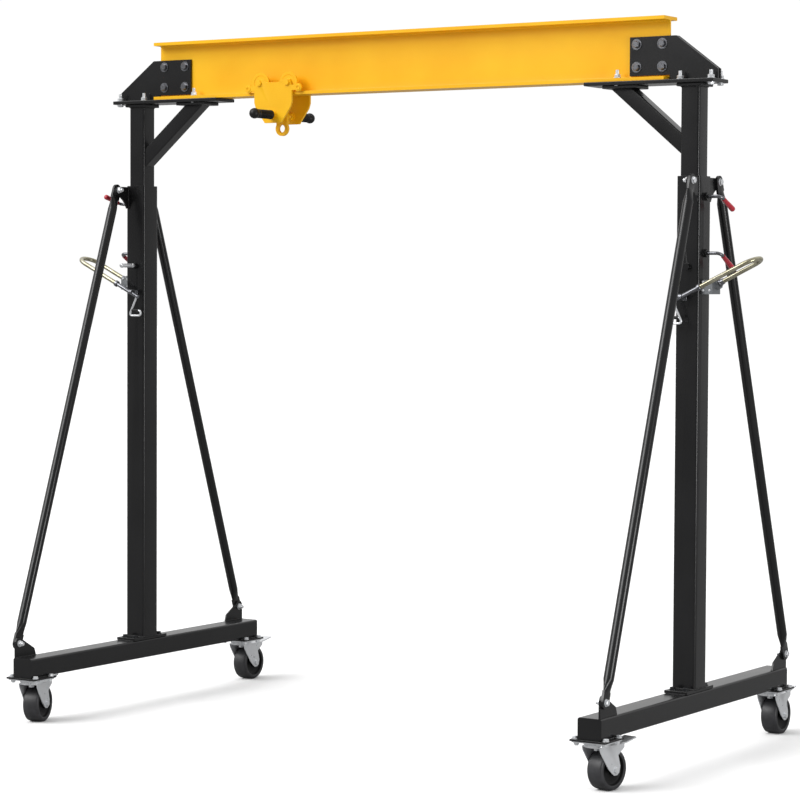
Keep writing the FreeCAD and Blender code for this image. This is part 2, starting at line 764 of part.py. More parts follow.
for side in sides:
    keep_leg(side, "base_tube", base_tube())
    keep_leg(side, "caster_pads", caster_pad(-1), caster_pad(1))
    keep_leg(side, "post_foot", post_foot())
    keep_leg(side, "outer_post", outer_post())
    keep_leg(side, "head_ears", head_ear(-1), head_ear(1))
    keep_leg(side, "foot_ears", foot_ear(-1), foot_ear(1))
    for end_name, end in both_ends.items():
        keep_leg(side, f"{end_name}_brace", brace(end))
    bolts = [brace_bolt(end, which) for end in (-1, 1) for which in ("head", "foot")]
    if side == "left":
        bolts.append(locating_pin())
    keep_leg(side, "leg_bolts", *bolts)
    keep_leg(side, "gear_block", gear_block())
    keep_leg(side, "drive_tube", drive_tube())
    keep_leg(side, "crank", crank())
    for level_name, drop, angle in zip(("upper", "lower"), screw_drops, screw_angles[side]):
        keep_leg(side, f"{level_name}_clamp_screw", clamp_screw(drop, angle))
    tops = []
    for end in (-1, 1):
        top = caster_top()
        top.translate(V(0, end * pad_y, 0))
        tops.append(top)
    keep_leg(side, "caster_tops", *tops)
    for (end_name, end), degrees in zip(both_ends.items(), caster_turns[side]):
        for piece_name, piece in (("fork", caster_fork()), ("wheel", caster_wheel())):
            piece.rotate(V(0, 0, 0), V(0, 0, 1), degrees * sides[side])
            piece.translate(V(0, end * pad_y, 0))
            keep_leg(side, f"{end_name}_{piece_name}", piece)
    keep_leg(side, "gussets", gusset(-1), gusset(1))
    keep_leg(side, "web_bolts", *[web_bolt(x, z) for x in web_bolt_in for z in web_bolt_z])
    keep_leg(side, "head_plates", head_plate(), cap_plate(), strut_pad())
    keep_leg(side, "inner_post", inner_post())
    keep_leg(side, "knee_strut", knee_strut())

keep("main_beam", main_beam())


def keep_trolley(name, *solids):
    moved = []
    for solid in solids:
        copy = solid.copy()
        copy.translate(V(trolley_x, 0, 0))
        moved.append(copy)
    keep(name, *moved)


for end_name, face in both_ends.items():
    keep_trolley(f"trolley_{end_name}_plate", side_plate(face))
    for way, x in (("left", -trolley_wheel_x), ("right", trolley_wheel_x)):
        keep_trolley(f"trolley_{end_name}_{way}_wheel", trolley_wheel(face, x))
keep_trolley("trolley_spindle", spindle())
keep_trolley("trolley_grips", grip(-1), grip(1))
keep_trolley("lifting_eye", lifting_eye())

os.makedirs("parts", exist_ok=True)
for name, shape in nodes.items():
    for solid in shape.Solids:
        if not solid.isValid():
            print("not valid:", name)
    shape.exportStep(f"parts/{name}.step")
print(len(nodes), "nodes; shift_y", round(shift_y, 3), "pad_y", pad_y)
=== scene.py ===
# %% [markdown]
# # A portable gantry crane
# Two steel legs on swivel casters carry a yellow rolled beam, and a push trolley rolls along it.
# The measured model comes first as a fixed frame: its bodies move with the joints, and its nodes
# are the solids. Everything made here is laid over that frame, in metres, floor at Z = 0.

# %% Load the frame
import json
import math

import bmesh
import bpy
from mathutils import Matrix, Vector

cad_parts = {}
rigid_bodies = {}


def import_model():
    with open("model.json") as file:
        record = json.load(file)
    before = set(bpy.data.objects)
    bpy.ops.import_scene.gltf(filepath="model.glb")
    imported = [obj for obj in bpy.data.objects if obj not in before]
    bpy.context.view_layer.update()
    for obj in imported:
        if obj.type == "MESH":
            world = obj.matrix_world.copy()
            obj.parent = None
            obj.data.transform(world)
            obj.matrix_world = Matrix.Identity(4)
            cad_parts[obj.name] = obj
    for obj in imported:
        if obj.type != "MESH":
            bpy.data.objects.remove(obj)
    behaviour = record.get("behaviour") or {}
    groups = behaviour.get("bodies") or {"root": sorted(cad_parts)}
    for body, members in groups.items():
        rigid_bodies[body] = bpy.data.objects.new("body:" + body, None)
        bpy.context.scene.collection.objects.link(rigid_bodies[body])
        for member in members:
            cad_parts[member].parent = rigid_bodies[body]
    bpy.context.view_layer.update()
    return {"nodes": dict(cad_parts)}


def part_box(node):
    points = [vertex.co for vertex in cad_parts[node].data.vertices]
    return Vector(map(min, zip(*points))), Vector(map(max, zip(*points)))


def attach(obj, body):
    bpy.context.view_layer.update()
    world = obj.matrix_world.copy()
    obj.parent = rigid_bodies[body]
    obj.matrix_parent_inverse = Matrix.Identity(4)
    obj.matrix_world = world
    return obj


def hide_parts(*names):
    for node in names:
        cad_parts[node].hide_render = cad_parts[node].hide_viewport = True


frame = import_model()
MM = 0.001

# %% [markdown]
# ## Places read off the frame
# A detail has to sit on the steel it belongs to, so its place comes from the box of that steel.
# The two legs mirror each other, which makes one signed number enough to tell them apart.

# %% Shared places
SIDES = {"left": -1, "right": 1}
ENDS = {"front": -1, "rear": 1}
post_low, post_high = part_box("right_outer_post")
inner_low, inner_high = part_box("right_inner_post")
base_low, base_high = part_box("right_base_tube")
beam_low, beam_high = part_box("main_beam")
plate_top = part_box("right_head_plates")[1].z
post_x = (base_low.x + base_high.x) / 2
mid_y = (inner_low.y + inner_high.y) / 2
post_half = (base_high.x - base_low.x) / 2
post_top = post_high.z
base_top = base_high.z
foot_top = post_low.z
beam_bottom = beam_low.z
print("post axis", round(post_x, 4), "beam underside", round(beam_bottom, 4))


# %% [markdown]
# ## Helpers for materials
# Paint makers give a colour as sRGB hex, but light adds up in linear numbers, so one function
# converts. The others add a node, set it and wire it, which keeps every recipe short.

# %% Colour and node helpers
def linear(code):
    channels = [int(code[i:i + 2], 16) / 255 for i in (1, 3, 5)]
    return [c / 12.92 if c <= 0.04045 else ((c + 0.055) / 1.055) ** 2.4 for c in channels] + [1.0]


def wire(tree, node, inputs):
    for key, value in inputs.items():
        if isinstance(value, bpy.types.NodeSocket):
            tree.links.new(value, node.inputs[key])
        else:
            node.inputs[key].default_value = value


def add_node(tree, kind, settings=None, inputs=None):
    node = tree.nodes.new(kind)
    for name, value in (settings or {}).items():
        setattr(node, name, value)
    wire(tree, node, inputs or {})
    return node


def start_material(name):
    material = bpy.data.materials.new(name)
    material.use_nodes = True
    tree = material.node_tree
    tree.nodes.clear()
    shader = add_node(tree, "ShaderNodeBsdfPrincipled")
    add_node(tree, "ShaderNodeOutputMaterial", inputs={"Surface": shader.outputs["BSDF"]})
    place = add_node(tree, "ShaderNodeTexCoord").outputs["Object"]
    return material, tree, shader, place


print("white is", linear("#ffffff"))


# %% [markdown]
# Every finish below is made of the same three moves: an unevenness of a known size in metres,
# which then drifts the colour, varies the gloss, or lifts the skin by a fraction of a millimetre.

# %% Unevenness and what it drives
def uneven(tree, place, size, detail):
    settings = {"Vector": place, "Scale": 1 / size, "Detail": detail}
    return add_node(tree, "ShaderNodeTexNoise", inputs=settings).outputs["Fac"]


def tone(tree, factor, dark, light, begin=0.0, finish=1.0):
    """A colour that runs from dark to light while the factor goes from begin to finish."""
    ramp = add_node(tree, "ShaderNodeValToRGB", inputs={"Fac": factor})
    for element, spot, code in zip(ramp.color_ramp.elements, (begin, finish), (dark, light)):
        element.position = spot
        element.color = linear(code)
    return ramp.outputs["Color"]


def gloss(tree, factor, low, high):
    settings = {"Value": factor, "To Min": low, "To Max": high}
    return add_node(tree, "ShaderNodeMapRange", inputs=settings).outputs["Result"]


def skin(tree, height, strength, depth, below=None):
    """A bump of the given depth in metres, laid over another one when below is given."""
    settings = {"Height": height, "Strength": strength, "Distance": depth}
    if below:
        settings["Normal"] = below
    return add_node(tree, "ShaderNodeBump", inputs=settings).outputs["Normal"]


print("recipes are made of", [move.__name__ for move in (uneven, tone, gloss, skin)])

# %% [markdown]
# ## Black powder coating
# The legs are mild steel under a baked polyester powder coat. The powder melts and flows but
# never quite levels, so the skin has a faint orange peel, a few millimetres from crest to crest,
# and a satin gloss that changes a little from place to place. It is a dielectric, IOR about 1.4.

# %% Powder coat
leg_coat, tree, shader, place = start_material("black_powder_coat")
patch = uneven(tree, place, 0.16, 4.0)
peel = uneven(tree, place, 0.0035, 2.0)
wire(tree, shader, {"Base Color": tone(tree, patch, "#111112", "#161617", 0.3, 0.72),
                    "Roughness": gloss(tree, patch, 0.2, 0.3),
                    "Normal": skin(tree, peel, 0.10, 0.0006),
                    "IOR": 1.42})
print("made", leg_coat.name)

# %% [markdown]
# ## Yellow enamel
# The beam and trolley are sprayed with a thick signal-yellow enamel. Rolled steel is never flat,
# so under the gloss lie long shallow waves from the mill, and the spray adds a finer texture.

# %% Enamel
beam_coat, tree, shader, place = start_material("yellow_enamel")
patch = uneven(tree, place, 0.22, 3.0)
spray = uneven(tree, place, 0.004, 2.0)
wave = uneven(tree, place, 0.045, 1.0)
mill = skin(tree, wave, 0.10, 0.002)
wire(tree, shader, {"Base Color": tone(tree, patch, "#f2b20c", "#f8bf15", 0.3, 0.72),
                    "Roughness": gloss(tree, patch, 0.30, 0.42),
                    "Normal": skin(tree, spray, 0.08, 0.0006, mill),
                    "IOR": 1.5, "Specular IOR Level": 0.28})
print("made", beam_coat.name)

# %% [markdown]
# ## Bright zinc
# Bolts and caster forks are electroplated with zinc, a thin blue-white metal layer. Most of its
# colour is in the reflection, but the clear passivate over it scatters a milky share, and barrel
# plating leaves a fine cloudy mottle in the gloss.

# %% Bright zinc
bright_zinc, tree, shader, place = start_material("bright_zinc_plate")
cloud = uneven(tree, place, 0.02, 4.0)
grain = uneven(tree, place, 0.0016, 2.0)
wire(tree, shader, {"Base Color": tone(tree, cloud, "#d6d9dc", "#eaebed"),
                    "Roughness": gloss(tree, cloud, 0.24, 0.34),
                    "Normal": skin(tree, grain, 0.08, 0.0003),
                    "Metallic": 0.6})
print("made", bright_zinc.name)

# %% [markdown]
# ## Yellow-passivated zinc
# The hand-drive's tube has the chromate dip that follows zinc plating. It leaves a thin straw
# film with a slight rainbow, so the colour drifts from olive to pale gold over a few centimetres.

# %% Yellow zinc
yellow_zinc, tree, shader, place = start_material("yellow_chromate_zinc")
drift = uneven(tree, place, 0.035, 3.0)
wire(tree, shader, {"Base Color": tone(tree, drift, "#8f8a72", "#bcb8a3", 0.3, 0.7),
                    "Roughness": gloss(tree, drift, 0.2, 0.32),
                    "Metallic": 0.85})
print("made", yellow_zinc.name)

# %% [markdown]
# ## Die-cast housing
# The bevel gear box is a zinc-aluminium casting, left bare. Casting gives a dull grey metal with
# a grainy skin about a millimetre in scale.

# %% Gear casting
gear_cast, tree, shader, place = start_material("bare_die_casting")
grit = uneven(tree, place, 0.0012, 3.0)
wire(tree, shader, {"Base Color": linear("#85888b"),
                    "Roughness": gloss(tree, grit, 0.42, 0.6),
                    "Normal": skin(tree, grit, 0.25, 0.0004),
                    "Metallic": 0.9})
print("made", gear_cast.name)

# %% [markdown]
# ## Wheel tyre and wheel core
# A caster's tyre is moulded dark grey polyurethane, matt, with dust in its pores; the core is
# black nylon, shinier in some places than in others. Both are dielectrics.

# %% Tyre and core
tyre, tree, shader, place = start_material("grey_polyurethane")
dust = uneven(tree, place, 0.02, 5.0)
pore = uneven(tree, place, 0.0015, 2.0)
wire(tree, shader, {"Base Color": tone(tree, dust, "#2b2b2d", "#39393c", 0.35, 0.75),
                    "Roughness": 0.45,
                    "Normal": skin(tree, pore, 0.15, 0.0003)})

wheel_core, tree, shader, place = start_material("black_nylon")
flow = uneven(tree, place, 0.03, 2.0)
wire(tree, shader, {"Base Color": linear("#09090a"),
                    "Roughness": gloss(tree, flow, 0.38, 0.55),
                    "Specular IOR Level": 0.3})
print("made", tyre.name, wheel_core.name)

# %% [markdown]
# ## Grip rubber and dipped vinyl
# Hands touch two finishes: moulded black rubber on the spindle and crank, and glossy red vinyl
# dipped over the clamp handles, where it runs a little before it sets.

# %% Rubber and vinyl
grip_rubber, tree, shader, place = start_material("moulded_rubber")
bloom = uneven(tree, place, 0.015, 3.0)
wire(tree, shader, {"Base Color": linear("#0b0b0c"),
                    "Roughness": gloss(tree, bloom, 0.36, 0.56),
                    "Specular IOR Level": 0.35})

red_vinyl, tree, shader, place = start_material("dipped_vinyl")
runs = uneven(tree, place, 0.02, 2.0)
wire(tree, shader, {"Base Color": tone(tree, runs, "#a31325", "#c4283c"),
                    "Roughness": 0.32,
                    "Normal": skin(tree, runs, 0.15, 0.001)})
print("made", grip_rubber.name, red_vinyl.name)

# %% [markdown]
# ## Blackened and oiled steel
# The foot bolts have black oxide, a thin dark film on steel. The big web bolts, the clamp rods
# and the drive's sleeves are the dark grey of quenched, oiled steel.

# %% Black oxide and oiled steel
black_oxide, tree, shader, place = start_material("black_oxide_steel")
film = uneven(tree, place, 0.006, 3.0)
wire(tree, shader, {"Base Color": linear("#37383a"),
                    "Roughness": gloss(tree, film, 0.3, 0.5),
                    "Metallic": 0.8})

dark_steel, tree, shader, place = start_material("oiled_steel")
film = uneven(tree, place, 0.008, 3.0)
wire(tree, shader, {"Base Color": linear("#77787c"),
                    "Roughness": gloss(tree, film, 0.2, 0.36),
                    "Metallic": 1.0})
print("made", black_oxide.name, dark_steel.name)

# %% [markdown]
# ## Giving sawn and bent steel its edges
# A cut plate or a tube never ends in a perfect line: the edge is broken with a file and the paint
# rounds it further, and that small radius is what catches the light. The solids from the frame
# have sharp edges, so a copy of each is welded into one mesh, its flat triangles joined, and a
# Bevel modifier rounds whatever turns by more than thirty degrees.

# %% Finished copies of the solids
BODY_OF = {node: obj.parent.name.split(":")[-1] for node, obj in frame["nodes"].items()}


def place_piece(name, mesh, material, body):
    obj = bpy.data.objects.new(name, mesh)
    bpy.context.scene.collection.objects.link(obj)
    mesh.materials.clear()
    mesh.materials.append(material)
    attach(obj, body)
    return obj


def finished_copy(node, edge, material):
    mesh = bpy.data.meshes.new(node + "_finished")
    bm = bmesh.new()
    bm.from_mesh(frame["nodes"][node].data)
    bmesh.ops.remove_doubles(bm, verts=bm.verts, dist=0.002 * MM)
    bmesh.ops.dissolve_limit(bm, angle_limit=math.radians(0.6), verts=bm.verts, edges=bm.edges)
    for face in bm.faces:
        face.smooth = True
        face.material_index = 0
    bm.to_mesh(mesh)
    bm.free()
    mesh.set_sharp_from_angle(angle=math.radians(32))
    obj = place_piece(node + "_finished", mesh, material, BODY_OF[node])
    rounding = obj.modifiers.new("edge", "BEVEL")
    rounding.width = edge * MM
    rounding.segments = 2
    rounding.limit_method = "ANGLE"
    rounding.angle_limit = math.radians(32)
    rounding.harden_normals = True
    rounding.use_clamp_overlap = True
    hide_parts(node)
    return obj


for side in SIDES:
    for piece, edge in (("base_tube", 0.8), ("caster_pads", 0.8), ("post_foot", 1.2), ("outer_post", 0.7),
                        ("head_ears", 0.8), ("foot_ears", 0.8), ("front_brace", 0.8), ("rear_brace", 0.8),
                        ("gussets", 1.2), ("head_plates", 2.2), ("inner_post", 0.6), ("knee_strut", 0.6)):
        finished_copy(f"{side}_{piece}", edge, leg_coat)
    finished_copy(f"{side}_gear_block", 2.0, gear_cast)
    finished_copy(f"{side}_caster_tops", 0.7, bright_zinc)
    for end in ENDS:
        finished_copy(f"{side}_{end}_fork", 0.7, bright_zinc)
finished_copy("main_beam", 1.6, beam_coat)
for end in ENDS:
    finished_copy(f"trolley_{end}_plate", 1.0, beam_coat)
finished_copy("lifting_eye", 1.5, beam_coat)


# %% [markdown]
# ## Turned parts and bent rods
# Wheels, grips and sleeves come off a lathe, so they are a profile swung about an axis. Handles
# are round bar bent over a former, so they are a circle swept along straight runs and arcs.

# %% Lathe and rod helpers
def turned(name, profile, start, way, steps=48):
    """profile is a list of (radius, distance along way) in mm; a radius of 0 closes on a point."""
    bm = bmesh.new()
    turn = Vector((0, 0, 1)).rotation_difference(Vector(way).normalized())
    rings = []
    for radius, along in profile:
        count = 1 if radius == 0 else steps
        ring = []
        for i in range(count):
            angle = 2 * math.pi * i / count
            spot = Vector((radius * MM * math.cos(angle), radius * MM * math.sin(angle), along * MM))
            ring.append(bm.verts.new(Vector(start) + turn @ spot))
        rings.append(ring)
    for near, far in zip(rings, rings[1:]):
        for i in range(steps):
            j = (i + 1) % steps
            corners = [near[i % len(near)], near[j % len(near)], far[j % len(far)], far[i % len(far)]]
            distinct = [v for k, v in enumerate(corners) if v not in corners[:k]]
            if len(distinct) > 2:
                bm.faces.new(distinct)
    if profile[0] == profile[-1]:
        bmesh.ops.remove_doubles(bm, verts=bm.verts, dist=1e-7)
    bmesh.ops.recalc_face_normals(bm, faces=bm.faces)
    for face in bm.faces:
        face.smooth = True
    mesh = bpy.data.meshes.new(name)
    bm.to_mesh(mesh)
    bm.free()
    mesh.set_sharp_from_angle(angle=math.radians(38))
    return mesh


def turned_piece(name, profile, start, way, steps, material, body):
    return place_piece(name, turned(name, profile, start, way, steps), material, body)


def rounded(points, radii, steps=8):
    """Corners of a path swapped for arcs of the given radii, in mm."""
    points = [Vector(p) for p in points]
    path = [points[0]]
    for before, corner, after, radius in zip(points, points[1:], points[2:], radii):
        back = (before - corner).normalized()
        on = (after - corner).normalized()
        half = back.angle(on) / 2
        hub = corner + (back + on).normalized() * (radius * MM / math.sin(half))
        first = corner + back * (radius * MM / math.tan(half)) - hub
        axis = on.cross(back).normalized()
        for i in range(steps + 1):
            path.append(hub + Matrix.Rotation((math.pi - 2 * half) * i / steps, 3, axis) @ first)
    return path + [points[-1]]


def bent_rod(name, path, radius, steps=20):
    """A round bar along a path, with its ends broken by a small chamfer."""
    bm = bmesh.new()
    way = (path[1] - path[0]).normalized()
    side = way.orthogonal().normalized()
    edge = min(radius * 0.2, 0.8) * MM
    stations = [(path[0], way, radius * MM - edge), (path[0] + way * edge, way, radius * MM)]
    for i, spot in enumerate(path[1:-1], 1):
        stations.append((spot, (path[i + 1] - path[i - 1]).normalized(), radius * MM))
    last = (path[-1] - path[-2]).normalized()
    stations += [(path[-1] - last * edge, last, radius * MM), (path[-1], last, radius * MM - edge)]
    rings = []
    for spot, way, size in stations:
        side = (side - way * side.dot(way)).normalized()
        across = way.cross(side)
        ring = []
        for i in range(steps):
            angle = 2 * math.pi * i / steps
            ring.append(bm.verts.new(spot + (side * math.cos(angle) + across * math.sin(angle)) * size))
        rings.append(ring)
    for near, far in zip(rings, rings[1:]):
        for i in range(steps):
            j = (i + 1) % steps
            bm.faces.new((near[i], near[j], far[j], far[i]))
    bm.faces.new(rings[0][::-1])
    bm.faces.new(rings[-1])
    bmesh.ops.recalc_face_normals(bm, faces=bm.faces)
    for face in bm.faces:
        face.smooth = True
    mesh = bpy.data.meshes.new(name)
    bm.to_mesh(mesh)
    bm.free()
    mesh.set_sharp_from_angle(angle=math.radians(40))
    return mesh


print("lathe and rod helpers ready")

# %% [markdown]
# ## Hexagon fasteners by rule
# About a hundred bolts and nuts hold the crane together, all of one pattern: washer, hexagon, end
# of thread. A Geometry Nodes tree builds that pattern once and sets a copy on every point of a
# small mesh, turned to the direction stored on the point and by a random angle about it, since
# nobody lines up the flats. Realize Instances then makes real faces of them.

# %% The fastener tree
def new_tree(name, sizes):
    tree = bpy.data.node_groups.new(name, "GeometryNodeTree")
    tree.interface.new_socket("Geometry", in_out="INPUT", socket_type="NodeSocketGeometry")
    for label, value in sizes.items():
        kind = {type(None): "NodeSocketMaterial", int: "NodeSocketInt", float: "NodeSocketFloat"}[type(value)]
        socket = tree.interface.new_socket(label, in_out="INPUT", socket_type=kind)
        if value is not None:
            socket.default_value = value
    tree.interface.new_socket("Geometry", in_out="OUTPUT", socket_type="NodeSocketGeometry")
    return tree, add_node(tree, "NodeGroupInput"), add_node(tree, "NodeGroupOutput")


def painted(tree, copies, finish, result):
    """The last steps of every tree: real faces instead of copies, in one finish."""
    real = add_node(tree, "GeometryNodeRealizeInstances", inputs={"Geometry": copies.outputs[0]})
    settings = {"Geometry": real.outputs[0], "Material": finish}
    wire(tree, result, {0: add_node(tree, "GeometryNodeSetMaterial", inputs=settings).outputs[0]})
    return tree


def aimed(tree):
    """The turn that points Z along the direction stored on each seat."""
    way = add_node(tree, "GeometryNodeInputNamedAttribute", {"data_type": "FLOAT_VECTOR"}, {"Name": "way"})
    aim = add_node(tree, "FunctionNodeAlignRotationToVector", {"axis": "Z"}, {"Vector": way.outputs[0]})
    return aim.outputs[0]


def lifted(tree, shape, height):
    move = add_node(tree, "ShaderNodeCombineXYZ", inputs={"Z": height}).outputs[0]
    return add_node(tree, "GeometryNodeTransform", inputs={"Geometry": shape, "Translation": move}).outputs[0]


def maths(tree, operation, a, b):
    return add_node(tree, "ShaderNodeMath", {"operation": operation}, {0: a, 1: b}).outputs[0]


def hex_tree():
    sizes = {"Hexagon radius": 0.010, "Hexagon height": 0.008, "Washer radius": 0.013, "Washer height": 0.002,
             "Thread radius": 0.006, "Thread length": 0.0, "Seed": 3, "Finish": None}
    tree, given, result = new_tree("hexagon_fasteners", sizes)
    size = given.outputs
    under = size["Washer height"]
    hex_r = size["Hexagon radius"]
    washer = add_node(tree, "GeometryNodeMeshCylinder",
                      inputs={"Vertices": 24, "Radius": size["Washer radius"], "Depth": under})
    washer = lifted(tree, washer.outputs["Mesh"], maths(tree, "MULTIPLY", under, 0.5))
    wall = maths(tree, "MULTIPLY", size["Hexagon height"], 0.84)
    bevel = maths(tree, "MULTIPLY", size["Hexagon height"], 0.16)
    body = add_node(tree, "GeometryNodeMeshCylinder", inputs={"Vertices": 6, "Radius": hex_r, "Depth": wall})
    half_up = maths(tree, "ADD", under, maths(tree, "MULTIPLY", wall, 0.5))
    body = lifted(tree, body.outputs["Mesh"], half_up)
    crown = add_node(tree, "GeometryNodeMeshCone",
                     inputs={"Vertices": 6, "Radius Top": maths(tree, "MULTIPLY", hex_r, 0.86),
                             "Radius Bottom": hex_r, "Depth": bevel})
    crown = lifted(tree, crown.outputs["Mesh"], maths(tree, "ADD", under, wall))
    stub = size["Thread length"]
    thread = add_node(tree, "GeometryNodeMeshCylinder",
                      inputs={"Vertices": 16, "Radius": size["Thread radius"], "Depth": stub})
    head_top = maths(tree, "ADD", under, size["Hexagon height"])
    middle = maths(tree, "ADD", head_top, maths(tree, "MULTIPLY", stub, 0.499))
    thread = lifted(tree, thread.outputs["Mesh"], middle)
    join = add_node(tree, "GeometryNodeJoinGeometry")
    for shape in (washer, body, crown, thread):
        tree.links.new(shape, join.inputs[0])
    chance = add_node(tree, "FunctionNodeRandomValue", {"data_type": "FLOAT"},
                      {"Min": 0.0, "Max": math.pi / 3, "Seed": size["Seed"]})
    spin = add_node(tree, "ShaderNodeCombineXYZ", inputs={"Z": chance.outputs[1]})
    turn = add_node(tree, "FunctionNodeEulerToRotation", inputs={0: spin.outputs[0]})
    both = add_node(tree, "FunctionNodeRotateRotation", {"rotation_space": "LOCAL"},
                    {"Rotation": aimed(tree), "Rotate By": turn.outputs[0]})
    copies = add_node(tree, "GeometryNodeInstanceOnPoints",
                      inputs={"Points": given.outputs["Geometry"], "Instance": join.outputs[0],
                              "Rotation": both.outputs[0]})
    return painted(tree, copies, size["Finish"], result)


hex_pattern = hex_tree()
print("fastener tree has", len(hex_pattern.nodes), "nodes")

# %% [markdown]
# A modifier's inputs are set by their identifiers before the object is looked at for the first
# time, and the evaluated result is copied into a plain mesh that no longer needs the tree.

# %% Growing a pattern on points
def grown(name, seats, tree, values, body, replaced=(), edges=(), sharp=30):
    """seats is a list of (place, direction); returns the plain piece that the tree grows there."""
    seed_mesh = bpy.data.meshes.new(name + "_seats")
    seed_mesh.from_pydata([spot for spot, way in seats], list(edges), [])
    seed_mesh.attributes.new("way", "FLOAT_VECTOR", "POINT")
    for item, (spot, way) in zip(seed_mesh.attributes["way"].data, seats):
        item.vector = way
    seed = bpy.data.objects.new(name + "_seed", seed_mesh)
    bpy.context.scene.collection.objects.link(seed)
    grower = seed.modifiers.new("grow", "NODES")
    grower.node_group = tree
    for item in tree.interface.items_tree:
        if item.in_out == "INPUT" and item.name in values:
            grower[item.identifier] = values[item.name]
    evaluated = seed.evaluated_get(bpy.context.evaluated_depsgraph_get())
    mesh = bpy.data.meshes.new_from_object(evaluated)
    seed.modifiers.clear()
    bpy.data.objects.remove(seed)
    mesh.name = name
    if "way" in mesh.attributes:
        mesh.attributes.remove(mesh.attributes["way"])
    mesh.shade_smooth()
    mesh.set_sharp_from_angle(angle=math.radians(sharp))
    piece = place_piece(name, mesh, values["Finish"], body)
    if replaced:
        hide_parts(*replaced)
    return piece


def fasteners(name, seats, size, body, finish=None, replaced=()):
    """size is hexagon radius and height, washer radius and height, thread radius and length, in mm."""
    labels = [f"{part} {measure}" for part, measure in
              (("Hexagon", "radius"), ("Hexagon", "height"), ("Washer", "radius"), ("Washer", "height"),
               ("Thread", "radius"), ("Thread", "length"))]
    values = {label: value * MM for label, value in zip(labels, size)}
    values["Finish"] = finish or bright_zinc
    values["Seed"] = len(name)
    return grown(name, seats, hex_pattern, values, body, replaced)


print("ready to grow")

# %% [markdown]
# ### Web bolts
# Four large bolts clamp each pair of gusset plates to the beam's web: washered heads in front,
# nuts with a little thread showing behind.

# %% Web bolts
gusset_low, gusset_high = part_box("right_gussets")
WEB_BOLT_IN = (198.0 * MM, 108.0 * MM)
WEB_BOLT_UP = (44.5 * MM, 116.0 * MM)
for side, sign in SIDES.items():
    heads = []
    nuts = []
    for inset in WEB_BOLT_IN:
        for up in WEB_BOLT_UP:
            x = sign * (post_x - inset)
            z = beam_bottom + up
            heads.append(((x, gusset_low.y, z), (0, -1, 0)))
            nuts.append(((x, gusset_high.y, z), (0, 1, 0)))
    fasteners(f"{side}_web_bolt_heads", heads, (12, 8, 17, 2.4, 8, 0.4), "upper_frame",
              dark_steel, (f"{side}_web_bolts",))
    fasteners(f"{side}_web_bolt_nuts", nuts, (12, 10.5, 17, 2.4, 8, 5), "upper_frame",
              dark_steel)
print("web bolts at", [round(post_x - inset, 3) for inset in WEB_BOLT_IN])

# %% [markdown]
# ### Head plate studs
# Bolts come up through the head plate beside the beam and end in a nut with a stub of thread
# above it. Their heads show under the plate, except for the pair that stands over the post.

# %% Studs through the head plate
STUD_IN = (255.0 * MM, 34.0 * MM, -72.0 * MM)
STUD_OUT = 33.0 * MM
flange_top = beam_bottom + 11.0 * MM
for side, sign in SIDES.items():
    uppers = []
    lowers = []
    for inset in STUD_IN:
        for end in ENDS.values():
            x = sign * (post_x - inset)
            y = mid_y + end * STUD_OUT
            on_beam = post_x - inset < beam_high.x
            uppers.append(((x, y, flange_top if on_beam else beam_bottom), (0, 0, 1)))
            if inset != STUD_IN[1]:
                lowers.append(((x, y, plate_top - 12 * MM), (0, 0, -1)))
    fasteners(f"{side}_stud_nuts", uppers, (10.5, 10, 12.5, 2, 6, 14), "upper_frame")
    fasteners(f"{side}_stud_heads", lowers, (10.5, 6, 12.5, 1.6, 6, 0.3), "upper_frame")
print("studs stand on", round(flange_top, 4), "and", round(beam_bottom, 4))

# %% [markdown]
# ### Brace bolts, foot bolts and pad bolts
# The braces hang on single bolts, heads outside and nuts inside. Black bolts pull the post's foot
# plate onto the base tube, and bright ones hold each caster to its pad beside the tube.

# %% Leg fasteners
BRACE_HEAD_OUT = 55.0 * MM
BRACE_HEAD_DROP = 16.0 * MM
BRACE_FOOT_IN = 20.0 * MM
BRACE_FOOT_UP = 47.0 * MM
ear_low, ear_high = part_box("right_head_ears")
pad_low, pad_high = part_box("right_caster_pads")
pad_y = {"front": pad_low.y + 0.060, "rear": pad_high.y - 0.060}
brace_face = ear_high.x + 8.0 * MM
for side, sign in SIDES.items():
    heads = []
    nuts = []
    feet = []
    for end, out in ENDS.items():
        spots = [(mid_y + out * (post_half + BRACE_HEAD_OUT), post_top - BRACE_HEAD_DROP)]
        tube_end = base_high.y if out > 0 else base_low.y
        spots.append((tube_end - out * BRACE_FOOT_IN, base_top + BRACE_FOOT_UP))
        for y, z in spots:
            heads.append(((sign * brace_face, y, z), (sign, 0, 0)))
            nuts.append(((sign * ear_low.x, y, z), (-sign, 0, 0)))
    fasteners(f"{side}_brace_bolt_heads", heads, (10, 7, 11.5, 1.8, 6, 0.3), f"{side}_leg",
              replaced=(f"{side}_leg_bolts",))
    fasteners(f"{side}_brace_bolt_nuts", nuts, (10, 9.5, 11.5, 1.8, 6, 6), f"{side}_leg")
    for along in (-1, 1):
        for across in (-1, 1):
            feet.append(((sign * post_x + across * 22 * MM, mid_y + along * 68 * MM, foot_top), (0, 0, 1)))
    fasteners(f"{side}_foot_bolts", feet, (9.2, 6.4, 11, 1.8, 5, 0.3), f"{side}_leg",
              black_oxide)
    pads = []
    under = []
    for y in pad_y.values():
        for across in (-52, 52):
            for along in (-40, 40):
                y_bolt = y + along * MM
                pads.append(((sign * post_x + across * MM, y_bolt, pad_high.z), (0, 0, 1)))
                under.append(((sign * post_x + across * 0.9 * MM, y_bolt, pad_low.z - 4 * MM), (0, 0, -1)))
    fasteners(f"{side}_pad_bolts", pads, (8.6, 6.4, 10, 1.6, 5, 0.3), f"{side}_leg")
    fasteners(f"{side}_pad_nuts", under, (8.6, 6.4, 9.6, 1.4, 5, 2.5), f"{side}_leg")
